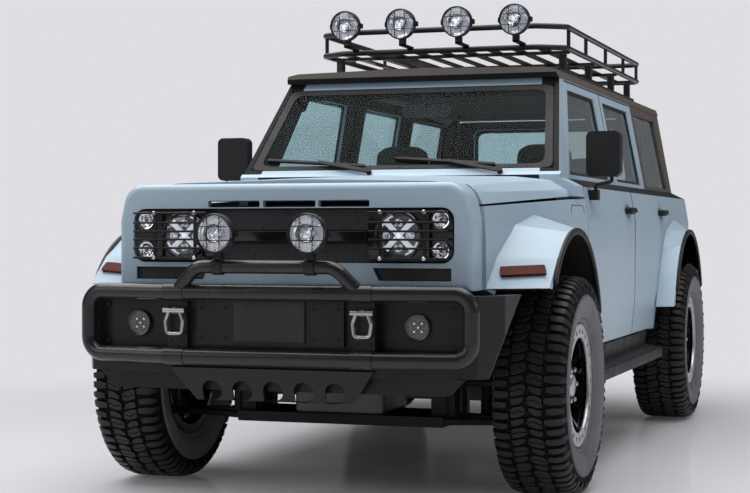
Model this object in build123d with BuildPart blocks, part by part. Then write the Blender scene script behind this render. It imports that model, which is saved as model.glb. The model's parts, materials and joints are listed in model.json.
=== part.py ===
from build123d import *
import math
import os

# Electric off-road vehicle, millimetres, +Z up. It faces -Y and its left side is +X.
# The origin is on the ground, in the middle of the whole length.
# Stations are measured rearward from the front axle and placed with at().

os.makedirs("parts", exist_ok=True)

# Wheels and axles
WHEELBASE = 2950.0
HALF_TRACK = 820.0
TYRE_RADIUS = 425.0
TYRE_HALF_WIDTH = 146.0
BEAD_RADIUS = 224.0
BEAD_HALF_WIDTH = 100.0
RING_RADIUS = 237.0
BARREL_BORE = 204.0
SPINDLE_RADIUS = 32.0
RUNNING_GAP = 0.05
SEAT_GAP = 0.3
KINGPIN_X = 770.0
BALL_JOINT_REACH = 135.0

# Body side, from the sill up to the roof seam
SILL_X = 808.0
SILL_Z = 513.0
BULGE_X = 826.0
BULGE_LOW_Z = 700.0
BULGE_Z = 1078.0
BELT_X = 803.0
BELT_Z = 1212.0
GLASS_X = 726.0
GLASS_Z = 1250.0
ROOF_X = 640.0
SEAM_Z = 1707.0
ROOF_CROWN = 55.0
DOOR_THICK = 60.0
FRAME_THICK = 34.0
INNER_GAP = 8.0
LINER_THICK = 36.0
APERTURE_STEP = 34.0

# Shut lines, as stations behind the front axle
DOOR_GAP = 8.0
FRONT_DOOR_FRONT = 694.0
FRONT_DOOR_REAR = 1826.0
REAR_DOOR_REAR = 2650.0
REAR_FRAME_REAR = 2692.0
CABIN_REAR = 3640.0
DOOR_TOP_Z = 1694.0
DOOR_BOTTOM_Z = 520.0
EDGE_SKEW = 0.18

# Windscreen
SCREEN_LOW = (600.0, 1292.0)
SCREEN_HIGH = (932.0, 1675.0)
SCREEN_LOW_X = 694.0
SCREEN_HIGH_X = 623.0
SCREEN_THICK = 8.0

# Nose
NOSE_FRONT = -692.0
NOSE_REAR = -560.0
NOSE_HALF = 690.0
NOSE_LOW_Z = 808.0
NOSE_TOP_Z = 1196.0
GRILLE_HALF = 627.0
GRILLE_LOW_Z = 905.0
GRILLE_HIGH_Z = 1105.0
GRILLE_DEPTH = 24.0
HOOD_REAR = 560.0
HOOD_THICK = 26.0
SHUT_FRONT_X = 692.0
SHUT_REAR_X = 786.0
SHUT_FRONT_Z = 1110.0
SHUT_REAR_Z = 1160.0

# Wheel arches
ARCH_RADIUS = 476.0
ARCH_Z = 546.0
FRONT_ARCH = -35.0
REAR_ARCH = 2975.0
FLARE_X = 922.0
TRIM_WIDTH = 26.0
TRIM_X = 936.0

# Bumper
LOOP_TUBE = 29.0
LOOP_LOW_Z = 572.0
LOOP_HIGH_Z = 802.0
LOOP_HALF = 732.0
LOOP_BEND_X = 380.0
LOOP_Y = -905.0
LOOP_END_Y = -845.0
HOOP_TUBE = 24.0
HOOP_Z = 894.0
HOOP_Y = -930.0

# Lamps
HOOP_LAMP_X = 175.0
HOOP_LAMP_Z = 1012.0
LAMP_RADIUS = 72.0
LAMP_DEPTH = 74.0
LAMP_CROWN = 4.0
WIRE_REACH = 16.0
WIRE_THICK = 4.0
WIRE_STEP = 24.0
FOG_X = 534.0
FOG_Z = 684.0
FOG_RADIUS = 48.0
ROOF_LAMP_X = (-408.0, -136.0, 136.0, 408.0)
ROOF_LAMP_Z = 1986.0
ROOF_LAMP_Y = 1100.0

# Roof rack
RACK_HALF = 600.0
RACK_LOW_Z = 1874.0
RACK_HEIGHT = 98.0
RACK_HIGH_Z = RACK_LOW_Z + RACK_HEIGHT
RACK_FRONT = 1240.0
RACK_REAR = 3226.0
RACK_TUBE = 13.0

# Spare wheel and whole length
SPARE_STANDOFF = 26.0
SPARE_X = 60.0
SPARE_Z = 1012.0
HUB_INNER = -18.0
SPARE_SEAT = SPARE_STANDOFF + TYRE_HALF_WIDTH + HUB_INNER - SEAT_GAP
FRONT_MOST = HOOP_Y - LAMP_DEPTH / 2 - WIRE_REACH
REAR_MOST = CABIN_REAR + SPARE_STANDOFF + 2 * TYRE_HALF_WIDTH
FRONT_AXLE_Y = -(FRONT_MOST + REAR_MOST) / 2


def at(station):
    """Row-frame Y of a station measured behind the front axle."""
    return FRONT_AXLE_Y + station


def keep(builder, name):
    builder.part.label = name
    export_step(builder.part, f"parts/{name}.step")


def side_x(z):
    """Outer half width of the body side at a height."""
    rows = [(SILL_X, SILL_Z), (BULGE_X, BULGE_LOW_Z), (BULGE_X, BULGE_Z),
            (BELT_X, BELT_Z), (GLASS_X, GLASS_Z), (ROOF_X, SEAM_Z)]
    for (xa, za), (xb, zb) in zip(rows, rows[1:]):
        if z <= zb:
            return xa + (xb - xa) * (z - za) / (zb - za)
    return ROOF_X


def seen(station, z):
    """A point of a side outline, moved along the skewed cut to the reference plane."""
    return (at(station) + (SKEW_PLANE_X - side_x(z)) * EDGE_SKEW, z)


SKEW_PLANE_X = 800.0
SKEW_OUT = (1.0, EDGE_SKEW, 0.0)
SKEW_IN = (-1.0, -EDGE_SKEW, 0.0)


def side_section(shift, low_z=SILL_Z):
    """Body side line, from sill to roof seam, moved inboard."""
    slope = (BULGE_X - SILL_X) / (BULGE_LOW_Z - SILL_Z)
    low_x = SILL_X + slope * (low_z - SILL_Z)
    return [(low_x - shift, low_z), (BULGE_X - shift, BULGE_LOW_Z), (BULGE_X - shift, BULGE_Z)]


def wall(lower_out, upper_out, lower_in, upper_in, front, rear):
    """A left side wall between two lines, each set inboard by its own amounts."""
    out_line = side_section(lower_out)
    out_line += [(BELT_X - lower_out, BELT_Z - lower_out * 0.3)]
    out_line += [(GLASS_X - upper_out, GLASS_Z - lower_out * 0.3), (ROOF_X - upper_out, SEAM_Z)]
    in_line = side_section(lower_in)
    in_line += [(BELT_X - lower_in, BELT_Z - lower_in * 0.3)]
    in_line += [(GLASS_X - upper_in, GLASS_Z - lower_in * 0.3), (ROOF_X - upper_in, SEAM_Z)]
    with BuildPart() as slab:
        with BuildSketch(Plane.XZ.offset(-at(front))):
            with BuildLine():
                Polyline(*out_line, *reversed(in_line), close=True)
            make_face()
        extrude(amount=-(rear - front))
    return slab.part


def side_prism(points, shrink=0.0):
    """Skewed prism through the left side over an outline of stations and heights."""
    with BuildPart() as prism:
        with BuildSketch(Plane.YZ.offset(SKEW_PLANE_X)):
            with BuildLine():
                Polyline(*[seen(y, z) for y, z in points], close=True)
            make_face()
            if shrink:
                offset(amount=-shrink, kind=Kind.INTERSECTION)
        extrude(amount=160, dir=SKEW_OUT)
        extrude(prism.faces().sort_by(Axis.X)[0], amount=330, dir=SKEW_IN)
    return prism.part


def flip(part):
    return mirror(part, about=Plane.YZ)


# Outlines of the doors, as stations and heights
FRONT_DOOR = [
    (FRONT_DOOR_FRONT, DOOR_BOTTOM_Z), (FRONT_DOOR_REAR, DOOR_BOTTOM_Z),
    (FRONT_DOOR_REAR, BELT_Z), (FRONT_DOOR_REAR - 4, DOOR_TOP_Z),
    (1046, DOOR_TOP_Z), (752, GLASS_Z + 10), (FRONT_DOOR_FRONT, BELT_Z - 14),
]
REAR_DOOR_FRONT = FRONT_DOOR_REAR + DOOR_GAP
REAR_DOOR = [
    (REAR_DOOR_FRONT, DOOR_BOTTOM_Z), (2388, DOOR_BOTTOM_Z), (2408, 612), (2437, 640), (2528, 785),
    (2632, 915), (REAR_DOOR_REAR, 950), (REAR_DOOR_REAR, BELT_Z), (REAR_FRAME_REAR, GLASS_Z + 10),
    (REAR_FRAME_REAR - 4, DOOR_TOP_Z), (REAR_DOOR_FRONT, DOOR_TOP_Z),
]
# Windows: station and height of each corner
FRONT_WINDOW = [(800, 1268), (1712, 1268), (1684, 1660), (1080, 1660)]
REAR_WINDOW = [(1922, 1268), (2610, 1268), (2582, 1660), (1894, 1660)]
QUARTER_WINDOW = [(2800, 1268), (3500, 1268), (3466, 1660), (2770, 1660)]

door_skin = wall(0, 0, DOOR_THICK, FRAME_THICK, HOOD_REAR, CABIN_REAR)
side_skin = wall(0, 0, DOOR_THICK + INNER_GAP, FRAME_THICK + INNER_GAP, HOOD_REAR, CABIN_REAR)
seal_band = wall(DOOR_THICK + SEAT_GAP, FRAME_THICK + SEAT_GAP,
                 DOOR_THICK + INNER_GAP + 2, FRAME_THICK + INNER_GAP + 2, HOOD_REAR, CABIN_REAR)
liner = wall(DOOR_THICK + INNER_GAP, FRAME_THICK + INNER_GAP,
             DOOR_THICK + INNER_GAP + LINER_THICK, FRAME_THICK + INNER_GAP + LINER_THICK,
             HOOD_REAR, CABIN_REAR)


def glass_pane(window, inset, thick):
    """Side glass that follows the raked window frame, set in from the outside."""
    slope = (GLASS_X - ROOF_X) / (SEAM_Z - GLASS_Z)
    low_z = GLASS_Z - 30
    low_x = GLASS_X + slope * 30 - inset
    high_x = ROOF_X - inset
    with BuildPart() as sheet:
        with BuildSketch(Plane.XZ.offset(-at(HOOD_REAR))):
            with BuildLine():
                Polyline((low_x, low_z), (high_x, SEAM_Z), (high_x - thick, SEAM_Z),
                         (low_x - thick, low_z), close=True)
            make_face()
        extrude(amount=-(CABIN_REAR - HOOD_REAR))
        add(side_prism(window, -SEAT_DEPTH), mode=Mode.INTERSECT)
    return sheet.part


SEAT_DEPTH = 12.0
GLASS_INSET = 12.0
GLASS_THICK = 5.0


PANEL_X = 753.0
PANEL_LOW_Z = 530.0
PANEL_HIGH_Z = 1206.0


def door(outline, window):
    """Thick door with its window cut and a groove that holds the glass."""
    with BuildPart() as leaf:
        add(door_skin)
        add(side_prism(outline), mode=Mode.INTERSECT)
        add(side_prism(window), mode=Mode.SUBTRACT)
        add(glass_pane(window, GLASS_INSET - SEAT_GAP, GLASS_THICK + 2 * SEAT_GAP), mode=Mode.SUBTRACT)
        # Flat trim panel inside, set back from the seal
        with Locations((0, at(2000), (PANEL_LOW_Z + PANEL_HIGH_Z) / 2)):
            Box(2 * PANEL_X, 4000, PANEL_HIGH_Z - PANEL_LOW_Z, mode=Mode.SUBTRACT)
    return leaf.part


doors = [("front", FRONT_DOOR, FRONT_WINDOW), ("rear", REAR_DOOR, REAR_WINDOW)]
for place, outline, window in doors:
    leaf = door(outline, window)
    pane = glass_pane(window, GLASS_INSET, GLASS_THICK)
    for side in ("left", "right"):
        with BuildPart() as door_leaf:
            add(leaf if side == "left" else flip(leaf))
        keep(door_leaf, f"door_{place}_{side}")
        with BuildPart() as door_glass:
            add(pane if side == "left" else flip(pane))
        keep(door_glass, f"glass_{place}_{side}")

# Windscreen plane: X across, Y up the slope, Z forward and out
slope_y = SCREEN_HIGH[0] - SCREEN_LOW[0]
slope_z = SCREEN_HIGH[1] - SCREEN_LOW[1]
SCREEN_LENGTH = math.hypot(slope_y, slope_z)
screen_plane = Plane(origin=(0, at(SCREEN_LOW[0]), SCREEN_LOW[1]), x_dir=(1, 0, 0),
                     z_dir=(0, -slope_z, slope_y))
SCREEN_FRAME_THICK = 44.0


def screen_outline(grow, low_extra=0.0, high_extra=0.0):
    drop = grow + low_extra
    rise = grow + high_extra
    lean = (SCREEN_LOW_X - SCREEN_HIGH_X) / SCREEN_LENGTH
    low_x = SCREEN_LOW_X + grow + lean * drop
    high_x = SCREEN_HIGH_X + grow - lean * rise
    return [(-low_x, -drop), (low_x, -drop), (high_x, SCREEN_LENGTH + rise), (-high_x, SCREEN_LENGTH + rise)]


def screen_slab(points, front, back):
    with BuildPart() as slab:
        with BuildSketch(screen_plane.offset(front)):
            with BuildLine():
                Polyline(*points, close=True)
            make_face()
        extrude(amount=-(front - back))
    return slab.part


# Half space in front of the windscreen, used to trim the side walls
with BuildPart() as ahead_of_screen:
    with BuildSketch(Plane.YZ.offset(-1000)):
        with BuildLine():
            lean = slope_y / slope_z
            Polyline((at(SCREEN_LOW[0]) - lean * (SCREEN_LOW[1] - 1262), 1262),
                     (at(SCREEN_HIGH[0]) + lean * 60, SCREEN_HIGH[1] + 60),
                     (at(300), SCREEN_HIGH[1] + 60), (at(300), 1262), close=True)
        make_face()
    extrude(amount=2000)

with BuildPart() as cabin_volume:
    with BuildSketch(Plane.XZ.offset(-at(300))):
        with BuildLine():
            half = [(SILL_X, SILL_Z), (BULGE_X, BULGE_LOW_Z), (BULGE_X, BULGE_Z), (BELT_X, BELT_Z),
                    (GLASS_X, GLASS_Z), (ROOF_X, SEAM_Z)]
            Polyline(*half, *[(-x, z) for x, z in reversed(half)], close=True)
        make_face()
    extrude(amount=-(CABIN_REAR - 300))


def arch_prism(centre, radius, inner_x, outer_x):
    """Wheel arch opening: a round top over an open bottom."""
    with BuildPart() as opening:
        with BuildSketch(Plane.YZ.offset(inner_x)):
            with Locations((at(centre), ARCH_Z)):
                Circle(radius)
            with Locations((at(centre), ARCH_Z - 250)):
                Rectangle(2 * radius, 500)
        extrude(amount=outer_x - inner_x)
    return opening.part


WHEELHOUSE_X = 640.0
FENDER_TOP_Z = 1168.0
TAILGATE_HALF = 566.0
TAILGATE_LOW_Z = 560.0
TAILGATE_HIGH_Z = 1690.0
TAILGATE_THICK = 60.0
HARDTOP_FRONT = REAR_FRAME_REAR + DOOR_GAP
HARDTOP_LOW_Z = GLASS_Z

GATE_AXIS = (-590.0, CABIN_REAR + 8.0)
GATE_HINGES = (740.0, 1200.0)
GATE_PIN = 4.0
GATE_KNUCKLE = 7.5
KNUCKLE_HALF = 24.0
LUG_THICK = 12.0

# Body sides: outer walls and liners with the door apertures, the seals and the rear arches
with BuildPart() as body_side:
    add(side_skin)
    for place, outline, window in doors:
        add(side_prism(outline, -DOOR_GAP), mode=Mode.SUBTRACT)
    add(liner)
    # Seal on which each closed door rests
    for place, outline, window in doors:
        with BuildPart(mode=Mode.PRIVATE) as seal:
            add(seal_band)
            add(side_prism(outline, DOOR_GAP), mode=Mode.INTERSECT)
        add(seal.part)
    for place, outline, window in doors:
        add(side_prism(outline, APERTURE_STEP), mode=Mode.SUBTRACT)
    add(side_prism([(HARDTOP_FRONT, HARDTOP_LOW_Z), (CABIN_REAR + 100, HARDTOP_LOW_Z),
                    (CABIN_REAR + 100, SEAM_Z + 40), (HARDTOP_FRONT, SEAM_Z + 40)]), mode=Mode.SUBTRACT)
    add(arch_prism(REAR_ARCH, ARCH_RADIUS, 600, 1000), mode=Mode.SUBTRACT)
    add(ahead_of_screen.part, mode=Mode.SUBTRACT)
    # Room for the front fender, and for the door hinge post behind it
    with Locations((900, at(FRONT_DOOR_FRONT - DOOR_GAP - 300), FENDER_TOP_Z - 500)):
        Box(300, 600, 1000, mode=Mode.SUBTRACT)
    with Locations((700, at(600 - 100), FENDER_TOP_Z - 500)):
        Box(300, 200, 1000, mode=Mode.SUBTRACT)
    add(screen_slab(screen_outline(-26), 20, -200), mode=Mode.SUBTRACT)
    add(screen_slab(screen_outline(1.0), 20, -SCREEN_THICK - SEAT_GAP), mode=Mode.SUBTRACT)
with BuildPart() as body_side_right:
    add(flip(body_side.part))
with BuildPart() as body_sides:
    add(body_side.part)
    add(body_side_right.part)
keep(body_side, "body_side_left")
keep(body_side_right, "body_side_right")

# Bars above and below the windscreen, between the front posts, with the rebate for the glass
with BuildPart() as screen_frame:
    add(screen_slab(screen_outline(70, -38, 10), 0, -SCREEN_FRAME_THICK))
    add(cabin_volume.part, mode=Mode.INTERSECT)
    add(screen_slab(screen_outline(-26), 20, -200), mode=Mode.SUBTRACT)
    add(screen_slab(screen_outline(1.0), 20, -SCREEN_THICK - SEAT_GAP), mode=Mode.SUBTRACT)
    add(body_sides.part, mode=Mode.SUBTRACT)
keep(screen_frame, "screen_frame")

TOWER_Z = 773.5
DAMPER_X = 535.0
DAMPER_BACK = 112.0
FLOOR_Z = 540.0
FLOOR_THICK = 27.0
FLOOR_HALF = 736.0
REAR_FLOOR_Z = 700.0
REAR_TOWER_Z = REAR_FLOOR_Z - FLOOR_THICK / 2
GATE_FRONT = CABIN_REAR - TAILGATE_THICK - DOOR_GAP
BULKHEAD_FRONT = 600.0
BULKHEAD_HALF = BULGE_X - DOOR_THICK - INNER_GAP - LINER_THICK
FRAME_TOP_Z = 550.0

# Body shell: cowl, bulkhead, floors and rear wheelhouses between the sides
with BuildPart() as body_shell:
    # Cowl between hood and screen, then the bulkhead below it
    with BuildSketch(Plane.YZ.offset(-730)):
        with BuildLine():
            Polyline((at(HOOD_REAR + DOOR_GAP), 1180), (at(HOOD_REAR + DOOR_GAP), 1262), (at(586), 1276),
                     (at(640), 1276), (at(640), 1180), close=True)
        make_face()
    extrude(amount=1460)
    with Locations((0, at(BULKHEAD_FRONT + 15), (FLOOR_Z + 1240) / 2)):
        Box(2 * BULKHEAD_HALF, 30, 1240 - FLOOR_Z)
    # Floor pan and the raised rear floor between the wheelhouses
    with Locations((0, at((600 + 2420) / 2), FLOOR_Z - FLOOR_THICK / 2)):
        Box(2 * FLOOR_HALF, 1820, FLOOR_THICK)
    with Locations((0, at((2400 + GATE_FRONT) / 2), REAR_FLOOR_Z)):
        Box(2 * WHEELHOUSE_X, GATE_FRONT - 2400, FLOOR_THICK)
    with Locations((0, at(2410), 620)):
        Box(2 * 700, FLOOR_THICK, 180)
    for side in (-1, 1):
        with Locations((side * (WHEELHOUSE_X - 12), at(REAR_ARCH), 880)):
            Box(24, 2 * ARCH_RADIUS + 40, 380)
        with Locations((side * (WHEELHOUSE_X - 20 + BULKHEAD_HALF + 10) / 2, at(REAR_ARCH), 1058)):
            Box(BULKHEAD_HALF + 10 - WHEELHOUSE_X + 20, 2 * ARCH_RADIUS + 40, 24)
    add(body_sides.part, mode=Mode.SUBTRACT)
    add(screen_frame.part, mode=Mode.SUBTRACT)
keep(body_shell, "body_shell")

# Front structure: inner fenders with the damper towers, and the cross panel behind the nose
PANEL_STATION = -530.0
with BuildPart() as front_structure:
    for side in (-1, 1):
        with Locations((side * 465, at((PANEL_STATION + BULKHEAD_FRONT) / 2), 845)):
            Box(20, BULKHEAD_FRONT - PANEL_STATION, 490)
        with Locations((side * 515, at(DAMPER_BACK), TOWER_Z + 12)):
            Box(100, 90, 24)
    with Locations((0, at(PANEL_STATION), (FRAME_TOP_Z + SEAT_GAP + 1085) / 2)):
        Box(2 * 640, 24, 1085 - FRAME_TOP_Z - SEAT_GAP)
keep(front_structure, "front_structure")

# Rear frame round the tailgate, with the hinge pins
with BuildPart() as rear_frame:
    with BuildSketch(Plane.XZ.offset(-at(CABIN_REAR))):
        with BuildLine():
            half = [(SILL_X - 10, SILL_Z + 20), (BULGE_X - 10, BULGE_LOW_Z), (BULGE_X - 10, BULGE_Z),
                    (BELT_X - 10, BELT_Z), (GLASS_X, GLASS_Z - 2)]
            Polyline(*half, *[(-x, z) for x, z in reversed(half)], close=True)
        make_face()
        with Locations((0, (TAILGATE_LOW_Z + 1400) / 2)):
            Rectangle(2 * (TAILGATE_HALF + DOOR_GAP), 1400 - TAILGATE_LOW_Z + 2 * DOOR_GAP,
                      mode=Mode.SUBTRACT)
    extrude(amount=TAILGATE_THICK)
    # Hinge pins of the tailgate, each held between two lugs
    for z in GATE_HINGES:
        with Locations((GATE_AXIS[0], at(GATE_AXIS[1]), z)):
            Cylinder(GATE_PIN, 2 * (KNUCKLE_HALF + LUG_THICK))
        for end in (-1, 1):
            lug_z = z + end * (KNUCKLE_HALF + RUNNING_GAP + LUG_THICK / 2)
            with Locations((GATE_AXIS[0] - 14, at(GATE_AXIS[1]), lug_z)):
                Box(44, 2 * GATE_KNUCKLE + 4, LUG_THICK)
    add(body_sides.part, mode=Mode.SUBTRACT)
keep(rear_frame, "rear_frame")

# Hard top: roof panel with the upper quarters and the frame over the tailgate
ROOF_EDGE_Z = SEAM_Z + SEAT_GAP
with BuildPart() as hard_top:
    with BuildSketch(Plane.XZ.offset(-at(905))):
        with BuildLine():
            half = [(ROOF_X + 4, ROOF_EDGE_Z), (ROOF_X - 8, ROOF_EDGE_Z + 34),
                    (ROOF_X - 60, ROOF_EDGE_Z + 44), (0, ROOF_EDGE_Z + ROOF_CROWN)]
            Polyline(*half, *[(-x, z) for x, z in reversed(half[:-1])], close=True)
        make_face()
    extrude(amount=-(CABIN_REAR + 14 - 905))
    chamfer(hard_top.edges().filter_by(Axis.X).group_by(Axis.Y)[0].sort_by(Axis.Z)[-1:], 20)
    with BuildSketch(Plane.XY.offset(ROOF_EDGE_Z)):
        with Locations((0, at((1000 + CABIN_REAR - 40) / 2))):
            Rectangle(2 * (ROOF_X - 60), CABIN_REAR - 40 - 1000)
    extrude(amount=30, mode=Mode.SUBTRACT)
    with BuildPart(mode=Mode.PRIVATE) as upper_quarter:
        add(wall(0, 0, DOOR_THICK, FRAME_THICK + 14, HOOD_REAR, CABIN_REAR))
        quarter_front = HARDTOP_FRONT + SEAT_GAP
        quarter_low = HARDTOP_LOW_Z + SEAT_GAP
        add(side_prism([(quarter_front, quarter_low), (CABIN_REAR + 100, quarter_low),
                        (CABIN_REAR + 100, SEAM_Z + 40), (quarter_front, SEAM_Z + 40)]),
            mode=Mode.INTERSECT)
        add(side_prism(QUARTER_WINDOW), mode=Mode.SUBTRACT)
        add(glass_pane(QUARTER_WINDOW, GLASS_INSET - SEAT_GAP, GLASS_THICK + 2 * SEAT_GAP),
            mode=Mode.SUBTRACT)
        extrude(upper_quarter.faces().sort_by(Axis.Z)[-1], amount=4)
    add(upper_quarter.part)
    add(flip(upper_quarter.part))
    # Frame over and beside the tailgate
    with BuildSketch(Plane.XZ.offset(-at(CABIN_REAR))):
        with BuildLine():
            half = [(GLASS_X - 6, GLASS_Z + SEAT_GAP), (ROOF_X - 4, ROOF_EDGE_Z + 4)]
            Polyline(*half, *[(-x, z) for x, z in reversed(half)], close=True)
        make_face()
        with Locations((0, (1100 + TAILGATE_HIGH_Z) / 2 + DOOR_GAP / 2)):
            Rectangle(2 * (TAILGATE_HALF + DOOR_GAP), TAILGATE_HIGH_Z - 1100 + DOOR_GAP, mode=Mode.SUBTRACT)
    extrude(amount=TAILGATE_THICK)
keep(hard_top, "hard_top")

# Fixed glass: windscreen and the two quarter windows
with BuildPart() as fixed_glass:
    add(screen_slab(screen_outline(0), -SEAT_GAP, -SCREEN_THICK))
    quarter = glass_pane(QUARTER_WINDOW, GLASS_INSET, GLASS_THICK)
    add(quarter)
    add(flip(quarter))
keep(fixed_glass, "fixed_glass")

# Tailgate with its window, hinged on the right-hand side
GATE_WINDOW_HALF = 470.0
GATE_WINDOW_LOW = 1280.0
GATE_WINDOW_HIGH = 1640.0
with BuildPart() as tailgate:
    with BuildSketch(Plane.XZ.offset(-at(CABIN_REAR))):
        with Locations((0, (TAILGATE_LOW_Z + TAILGATE_HIGH_Z) / 2)):
            RectangleRounded(2 * TAILGATE_HALF, TAILGATE_HIGH_Z - TAILGATE_LOW_Z, 30)
        with Locations((0, (GATE_WINDOW_LOW + GATE_WINDOW_HIGH) / 2)):
            RectangleRounded(2 * GATE_WINDOW_HALF, GATE_WINDOW_HIGH - GATE_WINDOW_LOW, 40, mode=Mode.SUBTRACT)
    extrude(amount=TAILGATE_THICK)
    with BuildSketch(Plane.XZ.offset(-at(CABIN_REAR - 20))):
        with Locations((0, (GATE_WINDOW_LOW + GATE_WINDOW_HIGH) / 2)):
            RectangleRounded(2 * (GATE_WINDOW_HALF + SEAT_DEPTH) + 2 * SEAT_GAP,
                             GATE_WINDOW_HIGH - GATE_WINDOW_LOW + 2 * SEAT_DEPTH + 2 * SEAT_GAP, 50)
    extrude(amount=GLASS_THICK + 2 * SEAT_GAP, mode=Mode.SUBTRACT)
    # Boss that carries the spare wheel, with a spigot in the hub
    for radius, length in ((70, SPARE_SEAT), (SPINDLE_RADIUS - SEAT_GAP, SPARE_SEAT + 50)):
        with BuildSketch(Plane.XZ.offset(-at(CABIN_REAR - 10))):
            with Locations((SPARE_X, SPARE_Z)):
                Circle(radius)
        extrude(amount=-(length + 10))
    # Hinge knuckles that turn on the pins of the body
    for z in GATE_HINGES:
        with Locations((GATE_AXIS[0], at(GATE_AXIS[1]), z)):
            Cylinder(GATE_KNUCKLE, 2 * KNUCKLE_HALF)
        with BuildSketch(Plane.XY.offset(z - KNUCKLE_HALF)):
            with BuildLine():
                Polyline((GATE_AXIS[0], at(CABIN_REAR + 2)), (-TAILGATE_HALF + 4, at(CABIN_REAR + 2)),
                         (-TAILGATE_HALF + 4, at(CABIN_REAR - 2)), (-TAILGATE_HALF + 50, at(CABIN_REAR - 2)),
                         (-TAILGATE_HALF + 50, at(GATE_AXIS[1])), (GATE_AXIS[0], at(GATE_AXIS[1])),
                         close=True)
            make_face()
        extrude(amount=2 * KNUCKLE_HALF)
        with Locations((GATE_AXIS[0], at(GATE_AXIS[1]), z)):
            Cylinder(GATE_PIN + RUNNING_GAP, 4 * KNUCKLE_HALF, mode=Mode.SUBTRACT)
keep(tailgate, "tailgate")

with BuildPart() as glass_tailgate:
    with BuildSketch(Plane.XZ.offset(-at(CABIN_REAR - 20) + SEAT_GAP)):
        with Locations((0, (GATE_WINDOW_LOW + GATE_WINDOW_HIGH) / 2)):
            RectangleRounded(2 * (GATE_WINDOW_HALF + SEAT_DEPTH),
                             GATE_WINDOW_HIGH - GATE_WINDOW_LOW + 2 * SEAT_DEPTH, 50)
    extrude(amount=GLASS_THICK)
keep(glass_tailgate, "glass_tailgate")

# The joint between nose and hood leans back as it goes down, so that the hood can swing up
SHUT_LEAN = 0.2
SHUT_LOW = NOSE_REAR + (NOSE_TOP_Z - SHUT_FRONT_Z) * SHUT_LEAN


def behind_joint(gap):
    """Everything behind the nose joint, moved rearward by a gap."""
    with BuildPart() as block:
        with BuildSketch(Plane.YZ.offset(-900)):
            with BuildLine():
                top = NOSE_REAR - 60 * SHUT_LEAN + gap
                Polyline((at(top), NOSE_TOP_Z + 60), (at(SHUT_LOW + gap), SHUT_FRONT_Z),
                         (at(SHUT_LOW + gap), 700), (at(900), 700), (at(900), NOSE_TOP_Z + 60), close=True)
            make_face()
        extrude(amount=1800)
    return block.part


# Nose panel round the grille, with three slots above it and a vent at each side below it
nose_plane = Plane.XZ.offset(-at(NOSE_FRONT))
NOSE_WALL = 30.0
SLOTS = [(-219, 206), (0, 206), (212, 196)]
with BuildPart() as nose_panel:
    with BuildSketch(nose_plane) as nose_face:
        with BuildLine():
            Polyline((-NOSE_HALF, NOSE_LOW_Z), (NOSE_HALF, NOSE_LOW_Z), (NOSE_HALF, 1060),
                     (NOSE_HALF - 30, NOSE_TOP_Z), (-NOSE_HALF + 30, NOSE_TOP_Z), (-NOSE_HALF, 1060),
                     close=True)
        make_face()
        fillet(nose_face.vertices().group_by(Axis.Y)[-1], 80)
    extrude(amount=-(SHUT_LOW - NOSE_FRONT))
    fillet(nose_panel.faces().sort_by(Axis.Y)[0].outer_wire().edges(), 26)
    with BuildSketch(nose_plane.offset(-NOSE_WALL)) as nose_hollow:
        with BuildLine():
            Polyline((-NOSE_HALF + 30, NOSE_LOW_Z - 20), (NOSE_HALF - 30, NOSE_LOW_Z - 20),
                     (NOSE_HALF - 30, 1050), (NOSE_HALF - 58, NOSE_TOP_Z - 30),
                     (-NOSE_HALF + 58, NOSE_TOP_Z - 30), (-NOSE_HALF + 30, 1050), close=True)
        make_face()
        fillet(nose_hollow.vertices().group_by(Axis.Y)[-1], 60)
    extrude(amount=-(SHUT_LOW - NOSE_FRONT), mode=Mode.SUBTRACT)
    with BuildSketch(nose_plane):
        with Locations((0, (GRILLE_LOW_Z + GRILLE_HIGH_Z) / 2)):
            RectangleRounded(2 * GRILLE_HALF, GRILLE_HIGH_Z - GRILLE_LOW_Z, 46)
        for centre, width in SLOTS:
            with Locations((centre, 1121)):
                RectangleRounded(width, 25, 6)
        for side in (-1, 1):
            with BuildLine():
                Polyline((side * 616, 842), (side * 616, 888), (side * 322, 888), (side * 344, 842),
                         close=True)
            make_face()
    extrude(amount=-NOSE_WALL, mode=Mode.SUBTRACT)
    add(behind_joint(0), mode=Mode.SUBTRACT)
keep(nose_panel, "nose_panel")

# Grille behind the nose wall: a plate raised into the opening, a plain bar and the two lower vents
BAR_LOW_Z = 984.0
BAR_HIGH_Z = 1020.0
CLUSTER_INNER_X = 300.0
CLUSTER_OUTER_X = 620.0
with BuildPart() as grille:
    with BuildSketch(nose_plane.offset(-NOSE_WALL - SEAT_GAP)):
        with Locations((0, 970)):
            Rectangle(2 * GRILLE_HALF + 16, 290)
    extrude(amount=-7)
    with BuildSketch(nose_plane.offset(-NOSE_WALL - SEAT_GAP)):
        with Locations((0, (GRILLE_LOW_Z + GRILLE_HIGH_Z) / 2)):
            RectangleRounded(2 * GRILLE_HALF - 2, GRILLE_HIGH_Z - GRILLE_LOW_Z - 2, 45)
    extrude(amount=NOSE_WALL - GRILLE_DEPTH)
    with BuildSketch(nose_plane.offset(-GRILLE_DEPTH)):
        with Locations((0, (BAR_LOW_Z + BAR_HIGH_Z) / 2)):
            Rectangle(2 * CLUSTER_INNER_X - 4, BAR_HIGH_Z - BAR_LOW_Z)
    extrude(amount=GRILLE_DEPTH - 8)
    with BuildSketch(nose_plane.offset(-NOSE_WALL - SEAT_GAP)):
        for side in (-1, 1):
            with BuildLine():
                Polyline((side * 615, 843), (side * 615, 887), (side * 324, 887), (side * 345, 843),
                         close=True)
            make_face()
    extrude(amount=NOSE_WALL - 10)
keep(grille, "grille")

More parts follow.
